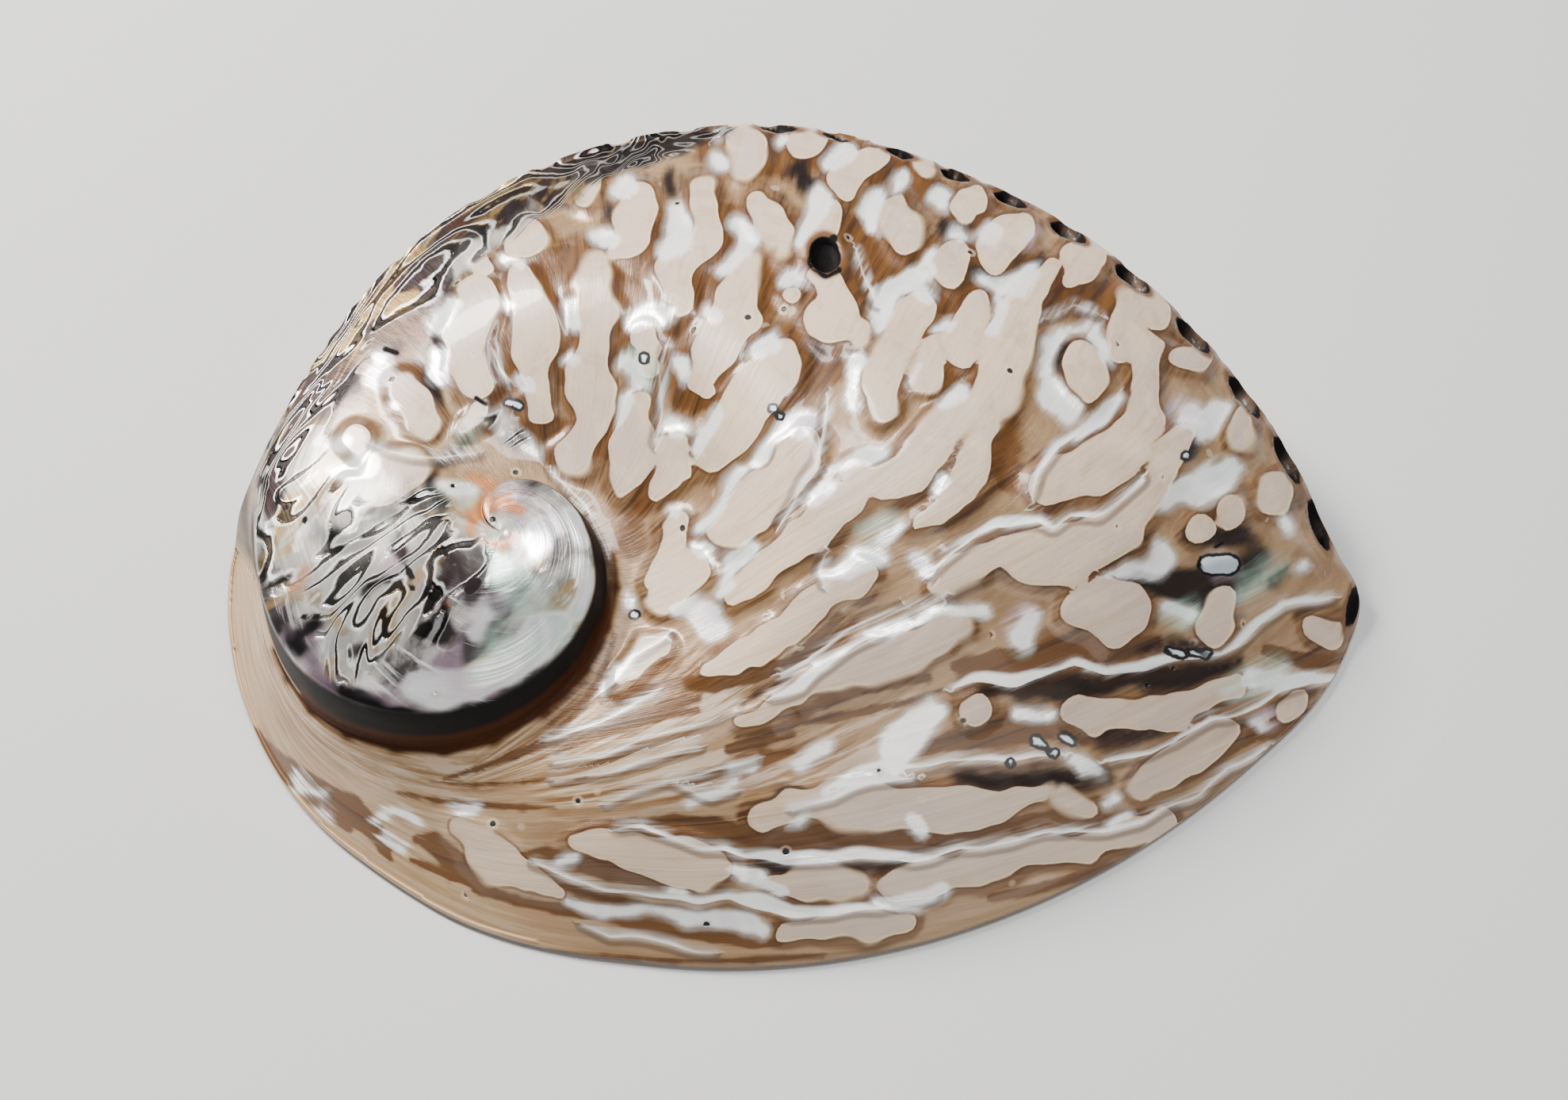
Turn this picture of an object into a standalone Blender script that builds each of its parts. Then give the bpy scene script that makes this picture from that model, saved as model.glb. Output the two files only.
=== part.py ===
"""Polished abalone shell, resting mouth down on its rim.

The shell is one piece: an ear-shaped bowl of a little over one turn, with the small
earlier turns as a spire near its back end and a row of breathing holes along its keel.
Plan directions are angles in degrees about the apex, counted on past a full turn where
the coil winds inwards. Run it with blender --background --python part.py.
"""

import math

import bmesh
import bpy
import numpy as np
from mathutils import Matrix, Vector

MM = 0.001
FULL_TURN = 360.0

# Driving sizes, in millimetres and degrees
APEX = (-38.8, -8.5)  # plan place that the coil winds about
SUMMIT = (-2.0, 14.0)  # plan place of the highest point of the back
SUMMIT_HEIGHT = 42.0
WALL = 2.6  # thickness of the shell
LIP_WALL = 1.5  # the same at the lip
THICKENING = 30.0  # way in from the lip over which the wall reaches its thickness
RIM_HEIGHT = 0.9  # of the rounded edge of the lip
LIP_ROUND = 0.5  # width of the rounding over that edge
RIM_ROUND = 0.7  # width of the rounding under that edge
RIM_FLAT = 2.4  # width of the worn edge that the shell stands on
RIM_STEP = 1.0  # width of the slope next to that edge
SHELF_WIDTH = 5.0  # of the thick inner lip under the row of holes
SHELF_RISE = 0.4  # its slope
INNER_SLOPE = 8.0  # of the inside just past the rim or the inner lip
SPIRE_SLOPE = 0.7  # of the inside under the spire's wall
SPIRE_END = -140.0  # direction from which that slope holds
CHANNEL = 30.0  # width over which the back rises beside the spire
COIL_OUT = -200.0  # direction in which the coil ends at the lip
FOLD_HEIGHT = 0.8  # of the low folds that run with the growth lines
DOME_POWER = 2.1  # how square-shouldered the back's dome is
DOME_WAY = (-110, 205)  # directions of the keel that the dome is drawn down to
NEAR_SIDE = (-115, -50)  # directions over which the near flange grows into the dome
COIL_SIDE = (80, 145)  # directions over which the dome becomes the spire's first turn
CROWN = (2.2, 0.1)  # height of a coiled turn's crown: at most, and as a share of its width
SLOPES = (1.1, 1.3)  # how late the flange and a coiled turn rise towards their keel
WALL_BULGE = (0.1, 1.25, 1.2)  # fullness of the wall: wave, power, and power of the round part
WALL_ROUND = (110, 190)  # directions over which the stepped wall becomes a round shoulder
FOLD_ENDS = (0.06, 0.4, 0.86, 1.0)  # where, across the back, folds start and end
FOLD_SPAN = (-120, -70, 95, 130)  # directions over which folds start and end
SHELF_SPAN = (4, 40, 120, 158)  # directions over which the inner lip widens and narrows

# The suture, where a turn meets the turn inside it: direction, reach from the apex, height
SUTURE = np.array((
    (-200, 47.4, 0.9), (-196, 43.2, 3.4), (-190, 39.4, 6.6), (-180, 36.3, 9.7),
    (-170, 34.4, 11.6), (-160, 33.0, 13.0), (-145, 31.4, 14.8), (-127, 28.4, 16.3),
    (-110, 25.6, 17.4), (-90, 22.7, 18.8), (-60, 18.6, 21.3), (-25, 15.0, 23.5),
    (5, 12.9, 25.6), (40, 11.2, 28.0), (75, 10.0, 29.8), (110, 7.2, 31.2),
    (140, 3.2, 32.3), (160, 0.0, 32.8), (170, 0.0, 32.8),
))

# The keel, where the back turns down into the wall: direction, reach from the apex, height.
# Past 160 degrees it is the shoulder of the spire.
KEEL = np.array((
    (0, 118.7, 1.6), (3, 120.9, 4.0), (6, 117.9, 7.3), (12, 113.9, 13.2), (22, 106.3, 21.0),
    (33, 98.0, 27.0), (46, 88.8, 30.5), (60, 81.2, 32.0), (75, 71.6, 32.2), (90, 62.2, 32.0),
    (105, 53.5, 31.4), (120, 46.2, 30.6), (135, 40.8, 30.0), (150, 37.6, 29.3),
    (165, 35.4, 28.4), (180, 33.5, 27.5), (192, 32.6, 26.6), (205, 31.4, 25.2),
    (220, 29.0, 24.5), (236, 25.8, 24.4), (250, 22.9, 24.6), (267, 19.6, 25.1),
    (283, 17.1, 26.1), (305, 15.2, 27.4), (330, 13.3, 29.0), (358, 11.1, 30.8),
    (400, 9.5, 32.0), (440, 8.2, 32.7), (480, 5.2, 33.0), (505, 1.9, 33.0), (520, 0.0, 32.8),
))

# The outline of the whole shell: direction, reach from the apex
MARGIN = np.array((
    (-210, 48.6), (-200, 47.4), (-190, 45.2), (-180, 43.1), (-170, 41.5), (-160, 40.3), (-145, 39.4),
    (-130, 39.2), (-120, 39.5), (-110, 40.6), (-100, 42.5), (-90, 44.7), (-80, 47.4), (-70, 51.0),
    (-60, 56.3), (-50, 62.9), (-40, 71.0), (-30, 80.7), (-20, 92.2), (-10, 105.5), (-4, 114.6),
    (0, 119.2), (3, 121.6), (6, 120.2), (10, 118.2), (20, 112.4), (30, 106.4), (40, 100.8),
    (50, 95.6), (60, 90.4), (70, 84.6), (80, 78.0), (90, 71.2), (100, 64.9), (110, 59.6),
    (120, 55.2), (130, 51.8), (140, 49.8), (150, 48.6), (160, 47.4), (170, 45.2),
))

# Each growth line leaves the suture in one direction and meets the outer edge further on:
# direction at the edge, direction at the suture
GROWTH = np.array((
    (-200, -200), (-15, -200), (-6, -182), (3, -150), (10, -112), (20, -76), (33, -38), (45, -10),
    (60, 14), (80, 38), (95, 54), (120, 83), (145, 112), (160, 128),
))
GROWTH_BOW = (1.3, 0.45)  # how late a growth line bends outwards: near the tip, over the back
BOW_CHANGE = (0, 75)  # directions between those two

# Folds of the back: direction at the suture, number of folds so far
FOLDS = np.array(((-200, 0.0), (-96, 6.0), (-13, 13.0), (54, 24.0), (112, 31.0)))

# Open breathing holes along the keel: direction, length, width, inset from the keel
HOLES = (
    (7.4, 6.6, 3.2, 1.4), (11.9, 6.8, 3.6, 1.6), (16.8, 6.6, 4.0, 1.8), (22.2, 6.2, 4.2, 2.0),
    (28.1, 5.8, 4.2, 2.1), (34.2, 5.4, 4.0, 2.1), (39.6, 4.8, 3.4, 1.9),
    (44.9, 4.2, 2.6, 1.6), (50.4, 3.8, 2.2, 1.3),
)
HOLE_LEAN = 26.0  # degrees that a hole's axis leans outwards
HOLE_SIDES = 14
HOLE_PROUD = 5.0  # length of a hole's cutter above the keel
HOLE_SINK = 0.8  # its depth below the keel, as a share of the keel's height
PIT = (43.0, 58.7)  # direction and reach of the worn pit in the back
PIT_SIZE = (6.6, 4.0)
PIT_DEPTH = 1.5

COLUMNS = 84  # in a turn
CROWDING = 0.8  # how much closer the columns stand where the outline is further off
OUTLINE_STEPS = 1441
DOME_STEPS = 400
BACK_ROWS = 12
FLANGE_ROWS = 0.75  # where the near side's back rows end, as a share of the turn's width
FLANGE_ENDS = (-60, -5)  # directions over which the back rows come to end at the keel
WALL_ROWS = 5
SPIRE_ROWS = 3
SPIRE_LIMIT = 0.8  # reach of those rows at most, as a share of the vault's
SPIRE_LET_GO = 70.0  # direction from which those rows leave the suture for that reach
INSIDE_ROWS = 7
VAULT_EDGE = 6.0  # from the inner lip's edge to where the vault begins


def along(knots, column, at):
    """A smooth line through one column of knots: cubic pieces that share their slopes."""
    places, values = knots[:, 0], knots[:, column]
    slopes = np.gradient(values, places)
    at = np.clip(at, places[0], places[-1])
    left = np.clip(np.searchsorted(places, at) - 1, 0, len(places) - 2)
    step = places[left + 1] - places[left]
    share = (at - places[left]) / step
    rest = 1 - share
    return (
        values[left] * (1 + 2 * share) * rest**2
        + values[left + 1] * (3 - 2 * share) * share**2
        + step * share * rest * (slopes[left] * rest - slopes[left + 1] * share)
    )


def eased(value, start, end):
    """0 before start, 1 after end, and smooth between them."""
    share = np.clip((value - start) / np.maximum(end - start, 1e-6), 0, 1)
    return share * share * (3 - 2 * share)


def suture(direction):
    """Reach and height of the suture."""
    return np.maximum(along(SUTURE, 1, direction), 0), along(SUTURE, 2, direction)


def margin(direction):
    """Reach of the outline."""
    return along(MARGIN, 1, direction)


def foot(direction):
    """Reach and height of a turn's outer foot: the lip, or the suture of the turn before."""
    outer, ground = suture(direction - FULL_TURN)
    on_lip = direction < COIL_OUT + FULL_TURN
    return np.where(on_lip, margin(direction), outer), np.where(on_lip, RIM_HEIGHT, ground)


def keel(direction):
    """Reach and height of the keel, which runs just inside the lip along the near edge, or of
    the spire's shoulder past the first turn."""
    reach = np.where(direction < 0, margin(direction) - LIP_ROUND, along(KEEL, 1, direction))
    return np.clip(reach, 0, foot(direction)[0]), along(KEEL, 2, direction)


def plan(direction, reach):
    """Plan place of a direction and reach from the apex."""
    turn = np.radians(direction)
    return APEX[0] + reach * np.cos(turn), APEX[1] + reach * np.sin(turn)


def dome(direction, reach):
    """Height of the back: a paraboloid from the summit down to the keel and the near edge.

    Beside the spire, whose shoulder takes the keel's place, the two ends are joined evenly.
    """
    way = np.linspace(*DOME_WAY, DOME_STEPS)
    edge_reach, edge_height = keel(way)
    x, y = plan(way, edge_reach)
    x, y = x - SUMMIT[0], y - SUMMIT[1]
    turns = np.degrees(np.arctan2(y, x))
    order = np.argsort(turns)
    at_x, at_y = plan(direction, reach)
    at_x, at_y = at_x - SUMMIT[0], at_y - SUMMIT[1]
    turn = np.degrees(np.arctan2(at_y, at_x))
    edge = np.interp(turn, turns[order], np.hypot(x, y)[order], period=FULL_TURN)
    base = np.interp(turn, turns[order], edge_height[order], period=FULL_TURN)
    share = np.clip(np.hypot(at_x, at_y) / edge, 0, 1)
    return base + (SUMMIT_HEIGHT - base) * (1 - share**DOME_POWER)


def growth(direction, across):
    """The growth line through a place, named by the direction in which it leaves the suture."""
    late, soon = GROWTH_BOW
    bow = late + (soon - late) * eased(direction, *BOW_CHANGE)
    return direction + (along(GROWTH, 1, direction) - direction) * across**bow


def folds(direction, across):
    """Low folds that follow the growth lines, fading out at the suture and at the edge."""
    count = np.interp(growth(direction, across), FOLDS[:, 0], FOLDS[:, 1])
    wave = 0.5 - 0.5 * np.cos(2 * math.pi * count)
    fade = eased(across, *FOLD_ENDS[:2]) * (1 - eased(across, *FOLD_ENDS[2:]))
    fade = fade * eased(direction, *FOLD_SPAN[:2]) * (1 - eased(direction, *FOLD_SPAN[2:]))
    return FOLD_HEIGHT * wave * fade


def turn_height(direction, reach, folded=True):
    """Height across a turn: from its suture over the back and the keel down to its foot."""
    near, low = suture(direction)
    far, high = keel(direction)
    edge, ground = foot(direction)
    across = np.clip((reach - near) / np.maximum(far - near, 1e-6), 0, 1)
    rise = eased(reach - near, 0, np.minimum(CHANNEL, far - near))
    domed = low + (dome(direction, reach) - low) * rise
    flange = low + (RIM_HEIGHT - low) * across ** SLOPES[0]
    domed = flange + (domed - flange) * eased(direction, *NEAR_SIDE)
    crown = 4 * across * (1 - across) * np.minimum(CROWN[0], (far - near) * CROWN[1])
    coiled = low + (high - low) * across ** SLOPES[1] + crown
    back = domed + (coiled - domed) * eased(direction, *COIL_SIDE)
    if folded:
        back = back + folds(direction, across)
    down = np.clip((reach - far) / np.maximum(edge - far, 1e-6), 0, 1)
    wave, power, round_power = WALL_BULGE
    stepped = 1 - (down + wave * np.sin(2 * math.pi * down)) ** power
    round_wall = np.cos(down * math.pi / 2) ** round_power
    share = stepped + (round_wall - stepped) * eased(direction, *WALL_ROUND)
    return np.where(reach <= far, back, ground + (high - ground) * share)


def outside(direction, reach, folded=True):
    """Height of the outer surface at a direction, from COIL_OUT to a turn on, and a reach."""
    return np.where(
        reach >= suture(direction)[0],
        turn_height(direction, reach, folded),
        turn_height(direction + FULL_TURN, reach, folded),
    )


def shelf_width(direction):
    """Width of the rim seen from below: the worn edge, and the inner lip on the far side."""
    wide = eased(direction, *SHELF_SPAN[:2]) * (1 - eased(direction, *SHELF_SPAN[2:]))
    return RIM_FLAT + RIM_STEP + (SHELF_WIDTH - RIM_FLAT) * wide


def inside(direction, reach):
    """Height of the inner surface: the outer one moved in, with a slope under the spire's
    wall in place of a step, down to the inner lip and the rim."""
    edge = margin(direction)
    gap = edge - reach
    wall = LIP_WALL + (WALL - LIP_WALL) * eased(gap, 0, THICKENING)
    vault = outside(direction, reach * edge / (edge - wall), folded=False) - wall
    near, low = suture(direction)
    slope = INNER_SLOPE + (SPIRE_SLOPE - INNER_SLOPE) * eased(direction, COIL_OUT, SPIRE_END)
    under_spire = low - wall + slope * np.maximum(near - reach, 0)
    vault = np.where(reach < near, np.minimum(vault, under_spire), vault)
    shelf = shelf_width(direction)
    ledge = SHELF_RISE * np.clip(gap - RIM_FLAT, 0, shelf - RIM_FLAT)
    ledge = ledge + INNER_SLOPE * np.maximum(gap - shelf, 0)
    rim = RIM_HEIGHT * (1 - np.clip(gap / RIM_ROUND, 0, 1))
    return np.maximum(np.minimum(vault, ledge), rim)


def columns(count):
    """Plan directions round the apex, closer together where the outline is further off."""
    way = np.linspace(COIL_OUT, COIL_OUT + FULL_TURN, OUTLINE_STEPS)
    spacing = margin(way) ** CROWDING
    walked = np.concatenate([[0], np.cumsum((spacing[1:] + spacing[:-1]) / 2)])
    return np.interp(np.arange(count) / count, walked / walked[-1], way)


def surface_points(direction, reach, height):
    """Points in metres, before the shell is centred on its origin."""
    return np.stack([*plan(direction, reach), height], axis=-1) * MM


def add_sheet(mesh, points, faces_up):
    """Adds a plain grid and lays it over an array of points, one grid line for each column."""
    grid = bmesh.ops.create_grid(
        mesh, x_segments=points.shape[1] - 1, y_segments=points.shape[0] - 1, size=1
    )
    for vertex, point in zip(grid["verts"], points.reshape(-1, 3)):
        vertex.co = Vector(point)
    if not faces_up:
        faces = {face for vertex in grid["verts"] for face in vertex.link_faces}
        bmesh.ops.reverse_faces(mesh, faces=list(faces))


def spread(start, end, count):
    """Evenly spaced reaches from start up to, but without, end: one row of them a column."""
    return start[:, None] + (end - start)[:, None] * (np.arange(count) / count)


def outer_points(way):
    """The outer surface as one coiled strip of two turns.

    Each column runs from the suture over the keel to the foot of its turn. The foot of the
    inner turn is the suture of the outer one, and both ends of the strip narrow to a point.
    """
    near, far, edge = suture(way)[0], keel(way)[0], foot(way)[0]
    crest = near + (edge - near) * FLANGE_ROWS
    crest = crest + (far - crest) * eased(way, *FLANGE_ENDS)
    crest = np.where(way > COIL_OUT + FULL_TURN, far, crest)
    parts = [spread(near, crest, BACK_ROWS), spread(crest, edge, WALL_ROWS), edge[:, None]]
    reach = np.concatenate(parts, axis=1)
    angle = np.repeat(way[:, None], reach.shape[1], axis=1)
    height = turn_height(angle, reach)
    height[:, 0], height[:, -1] = suture(way)[1], foot(way)[1]
    return surface_points(angle, reach, height)


def inner_points(way):
    """The inner surface, each column from the middle to the lip, with lines that follow the
    suture, the edge of the inner lip, the rim's flat and its rounding."""
    lip = margin(way)
    shelf = lip - shelf_width(way)
    spring = shelf - VAULT_EDGE
    limit = SPIRE_LIMIT * spring
    spire = np.minimum(suture(way)[0], limit)
    spire = spire + (limit - spire) * eased(way, SPIRE_LET_GO, COIL_OUT + FULL_TURN)
    steps = [spread(np.zeros_like(lip), spire, SPIRE_ROWS), spread(spire, spring, INSIDE_ROWS)]
    edges = (spring, shelf - VAULT_EDGE / 2, shelf, lip - RIM_FLAT, lip - RIM_ROUND, lip)
    reach = np.concatenate(steps + [edge[:, None] for edge in edges], axis=1)
    angle = np.repeat(way[:, None], reach.shape[1], axis=1)
    return surface_points(angle, reach, inside(angle, reach))


def shell_mesh():
    """The closed shell without its holes: an outer and an inner sheet that meet at the lip."""
    way = columns(COLUMNS)
    coil = np.concatenate([way, way + FULL_TURN, [COIL_OUT + 2 * FULL_TURN]])
    mesh = bmesh.new()
    add_sheet(mesh, outer_points(coil), True)
    inner = inner_points(np.append(way, COIL_OUT + FULL_TURN))
    inner[-1] = inner[0]
    add_sheet(mesh, inner, False)
    bmesh.ops.remove_doubles(mesh, verts=mesh.verts, dist=1e-6)
    bmesh.ops.dissolve_degenerate(mesh, edges=mesh.edges, dist=1e-6)
    return mesh


def cutter(name, collection, place, size, depth_up, depth_down, turn, lean):
    """An oval rod to cut with: long side across the lean, its top leaning outwards."""
    mesh = bmesh.new()
    bmesh.ops.create_cone(
        mesh, cap_ends=True, segments=HOLE_SIDES, radius1=0.5, radius2=0.5, depth=1
    )
    length = depth_up + depth_down
    bmesh.ops.scale(mesh, vec=(size[1] * MM, size[0] * MM, length * MM), verts=mesh.verts)
    bmesh.ops.translate(mesh, vec=(0, 0, (depth_up - length / 2) * MM), verts=mesh.verts)
    data = bpy.data.meshes.new(name)
    mesh.to_mesh(data)
    mesh.free()
    obj = bpy.data.objects.new(name, data)
    spin = Matrix.Rotation(math.radians(turn), 4, "Z")
    tilt = Matrix.Rotation(math.radians(lean), 4, "Y")
    obj.matrix_world = Matrix.Translation(place) @ spin @ tilt
    obj.hide_render = True
    obj.display_type = "WIRE"
    collection.objects.link(obj)


def add_cutters(collection):
    """The cutters of the breathing holes, square to the run of the keel, and of the pit."""
    for number, (direction, length, width, inset) in enumerate(HOLES, 1):
        near = np.array([direction - 1, direction, direction + 1])
        reach, height = keel(near)
        x, y = plan(near, reach - inset)
        outward = math.degrees(math.atan2(y[2] - y[0], x[2] - x[0])) - 90
        place = Vector((x[1], y[1], height[1])) * MM
        sink = HOLE_SINK * height[1]
        name = f"hole_cutter_{number}"
        cutter(name, collection, place, (length, width), HOLE_PROUD, sink, outward, HOLE_LEAN)
    direction, reach = PIT
    top = float(outside(np.array(direction), np.array(reach)))
    place = Vector((*plan(direction, reach), top)) * MM
    cutter("pit_cutter", collection, place, PIT_SIZE, HOLE_PROUD, PIT_DEPTH, 0, 0)


def nacre():
    """Polished nacre: pale and warm, with a clear gloss."""
    material = bpy.data.materials.new("nacre")
    material.use_nodes = True
    shader = material.node_tree.nodes["Principled BSDF"]
    shader.inputs["Base Color"].default_value = (0.62, 0.50, 0.38, 1)
    shader.inputs["Metallic"].default_value = 0.3
    shader.inputs["Roughness"].default_value = 0.22
    return material


def new_collection(name):
    collection = bpy.data.collections.new(name)
    bpy.context.scene.collection.children.link(collection)
    return collection


def main():
    for old in list(bpy.data.objects):
        bpy.data.objects.remove(old)
    parts, cutters = new_collection("abalone_shell"), new_collection("cutters")
    mesh = shell_mesh()
    data = bpy.data.meshes.new("shell")
    mesh.to_mesh(data)
    mesh.free()
    data.shade_smooth()
    data.set_sharp_from_angle(angle=math.radians(40))
    data.materials.append(nacre())
    shell = bpy.data.objects.new("shell", data)
    parts.objects.link(shell)
    add_cutters(cutters)
    cut = shell.modifiers.new("holes", "BOOLEAN")
    cut.operation = "DIFFERENCE"
    cut.operand_type = "COLLECTION"
    cut.collection = cutters
    cut.solver = "EXACT"
    corners = [Vector(corner) for corner in shell.bound_box]
    low = Vector(min(corner[i] for corner in corners) for i in range(3))
    high = Vector(max(corner[i] for corner in corners) for i in range(3))
    centre = Vector(((low.x + high.x) / 2, (low.y + high.y) / 2, low.z))
    for obj in bpy.data.objects:
        obj.location -= centre


main()
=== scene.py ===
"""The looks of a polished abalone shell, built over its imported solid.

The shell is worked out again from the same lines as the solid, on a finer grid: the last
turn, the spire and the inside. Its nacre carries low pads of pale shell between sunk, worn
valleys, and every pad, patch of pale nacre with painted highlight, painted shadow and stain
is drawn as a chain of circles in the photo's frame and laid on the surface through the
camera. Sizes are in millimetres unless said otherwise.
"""

import math

import bmesh
import bpy
import numpy as np
from mathutils import Matrix, Vector


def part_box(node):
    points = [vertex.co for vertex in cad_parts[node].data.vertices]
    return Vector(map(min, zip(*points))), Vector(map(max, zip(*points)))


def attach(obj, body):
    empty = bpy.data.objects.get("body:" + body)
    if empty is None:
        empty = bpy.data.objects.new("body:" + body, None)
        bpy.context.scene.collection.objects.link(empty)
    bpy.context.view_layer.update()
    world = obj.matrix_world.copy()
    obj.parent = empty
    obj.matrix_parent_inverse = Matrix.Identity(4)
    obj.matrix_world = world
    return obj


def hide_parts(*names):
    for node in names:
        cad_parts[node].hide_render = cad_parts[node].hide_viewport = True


bl_info = {
    "name": "Polished abalone shell",
    "version": (1, 0, 0),
    "blender": (4, 5, 0),
    "location": "3D View > Sidebar > Shell",
    "description": "Builds a polished abalone shell with its nacre, and a plain studio stage",
    "category": "Add Mesh",
}

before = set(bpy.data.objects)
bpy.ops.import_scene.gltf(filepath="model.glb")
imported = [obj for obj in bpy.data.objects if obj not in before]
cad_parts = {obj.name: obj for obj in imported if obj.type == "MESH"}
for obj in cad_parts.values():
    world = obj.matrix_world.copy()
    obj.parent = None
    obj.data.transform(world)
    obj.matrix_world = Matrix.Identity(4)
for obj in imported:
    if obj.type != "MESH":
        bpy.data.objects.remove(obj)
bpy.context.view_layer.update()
SOLID_LOW, SOLID_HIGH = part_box("shell")

MM = 0.001
FULL_TURN = 360.0

# Driving sizes, in millimetres and degrees
APEX = (-38.8, -8.5)  # plan place that the coil winds about
SUMMIT = (-2.0, 14.0)  # plan place of the highest point of the back
SUMMIT_HEIGHT = 42.0
WALL = 2.6  # thickness of the shell
LIP_WALL = 1.5  # the same at the lip
THICKENING = 30.0  # way in from the lip over which the wall reaches its thickness
RIM_HEIGHT = 0.9  # of the rounded edge of the lip
LIP_ROUND = 0.5  # width of the rounding over that edge
RIM_ROUND = 0.7  # width of the rounding under that edge
RIM_FLAT = 2.4  # width of the worn edge that the shell stands on
RIM_STEP = 1.0  # width of the slope next to that edge
SHELF_WIDTH = 5.0  # of the thick inner lip under the row of holes
SHELF_RISE = 0.4  # its slope
INNER_SLOPE = 8.0  # of the inside just past the rim or the inner lip
SPIRE_SLOPE = 0.7  # of the inside under the spire's wall
SPIRE_END = -140.0  # direction from which that slope holds
CHANNEL = 30.0  # width over which the back rises beside the spire
COIL_OUT = -200.0  # direction in which the coil ends at the lip
DOME_POWER = 2.1  # how square-shouldered the back's dome is
DOME_WAY = (-110, 205)  # directions of the keel that the dome is drawn down to
NEAR_SIDE = (-115, -50)  # directions over which the near flange grows into the dome
COIL_SIDE = (80, 145)  # directions over which the dome becomes the spire's first turn
CROWN = (2.2, 0.1)  # height of a coiled turn's crown: at most, and as a share of its width
SLOPES = (1.1, 1.3)  # how late the flange and a coiled turn rise towards their keel
WALL_BULGE = (0.1, 1.25, 1.2)  # fullness of the wall: wave, power, and power of the round part
WALL_ROUND = (110, 190)  # directions over which the stepped wall becomes a round shoulder
SHELF_SPAN = (4, 40, 120, 158)  # directions over which the inner lip widens and narrows

# The suture, where a turn meets the turn inside it: direction, reach from the apex, height
SUTURE = np.array((
    (-200, 47.4, 0.9), (-196, 43.2, 3.4), (-190, 39.4, 6.6), (-180, 36.3, 9.7),
    (-170, 34.4, 11.6), (-160, 33.0, 13.0), (-145, 31.4, 14.8), (-127, 28.4, 16.3),
    (-110, 25.6, 17.4), (-90, 22.7, 18.8), (-60, 18.6, 21.3), (-25, 15.0, 23.5),
    (5, 12.9, 25.6), (40, 11.2, 28.0), (75, 10.0, 29.8), (110, 7.2, 31.2),
    (140, 3.2, 32.3), (160, 0.0, 32.8), (170, 0.0, 32.8),
))

# The keel, where the back turns down into the wall: direction, reach from the apex, height.
# Past 160 degrees it is the shoulder of the spire.
KEEL = np.array((
    (0, 118.7, 1.6), (3, 120.9, 4.0), (6, 117.9, 7.3), (12, 113.9, 13.2), (22, 106.3, 21.0),
    (33, 98.0, 27.0), (46, 88.8, 30.5), (60, 81.2, 32.0), (75, 71.6, 32.2), (90, 62.2, 32.0),
    (105, 53.5, 31.4), (120, 46.2, 30.6), (135, 40.8, 30.0), (150, 37.6, 29.3),
    (165, 35.4, 28.4), (180, 33.5, 27.5), (192, 32.6, 26.6), (205, 31.4, 25.2),
    (220, 29.0, 24.5), (236, 25.8, 24.4), (250, 22.9, 24.6), (267, 19.6, 25.1),
    (283, 17.1, 26.1), (305, 15.2, 27.4), (330, 13.3, 29.0), (358, 11.1, 30.8),
    (400, 9.5, 32.0), (440, 8.2, 32.7), (480, 5.2, 33.0), (505, 1.9, 33.0), (520, 0.0, 32.8),
))

# The outline of the whole shell: direction, reach from the apex
MARGIN = np.array((
    (-210, 48.6), (-200, 47.4), (-190, 45.2), (-180, 43.1), (-170, 41.5), (-160, 40.3),
    (-145, 39.4), (-130, 39.2), (-120, 39.5), (-110, 40.6), (-100, 42.5), (-90, 44.7),
    (-80, 47.4), (-70, 51.0),
    (-60, 56.3), (-50, 62.9), (-40, 71.0), (-30, 80.7), (-20, 92.2), (-10, 105.5), (-4, 114.6),
    (0, 119.2), (3, 121.6), (6, 120.2), (10, 118.2), (20, 112.4), (30, 106.4), (40, 100.8),
    (50, 95.6), (60, 90.4), (70, 84.6), (80, 78.0), (90, 71.2), (100, 64.9), (110, 59.6),
    (120, 55.2), (130, 51.8), (140, 49.8), (150, 48.6), (160, 47.4), (170, 45.2),
))

# Each growth line leaves the suture in one direction and meets the outer edge further on:
# direction at the edge, direction at the suture
GROWTH = np.array((
    (-200, -200), (-15, -200), (-6, -182), (3, -150), (10, -112), (20, -76), (33, -38), (45, -10),
    (60, 14), (80, 38), (95, 54), (120, 83), (145, 112), (160, 128),
))
GROWTH_BOW = (1.3, 0.45)  # how late a growth line bends outwards: near the tip, over the back
BOW_CHANGE = (0, 75)  # directions between those two

# Growth bands of the back, by which what lies along them is counted: direction at the
# suture, number of bands so far
BANDS = np.array(((-200, 0.0), (-96, 6.0), (-13, 13.0), (54, 24.0), (112, 31.0)))

# Open breathing holes along the keel: direction, length, width, inset from the keel
HOLES = (
    (7.4, 6.6, 3.2, 1.4), (11.9, 6.8, 3.6, 1.6), (16.8, 6.6, 4.0, 1.8), (22.2, 6.2, 4.2, 2.0),
    (28.1, 5.8, 4.2, 2.1), (34.2, 5.4, 4.0, 2.1), (39.6, 4.8, 3.4, 1.9),
    (44.9, 4.2, 2.6, 1.6), (50.4, 3.8, 2.2, 1.3),
)
HOLE_LEAN = 26.0  # degrees that a hole's axis leans outwards
HOLE_PROUD = 5.0  # length of a hole's cutter above the keel
HOLE_SINK = 0.8  # its depth below the keel, as a share of the keel's height
CUTTER_SIDES = 28  # corners round a cutter
PIT = (43.0, 58.7)  # direction and reach of the worn pit in the back
PIT_SIZE = (6.6, 4.0)
PIT_DEPTH = 1.5

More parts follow.
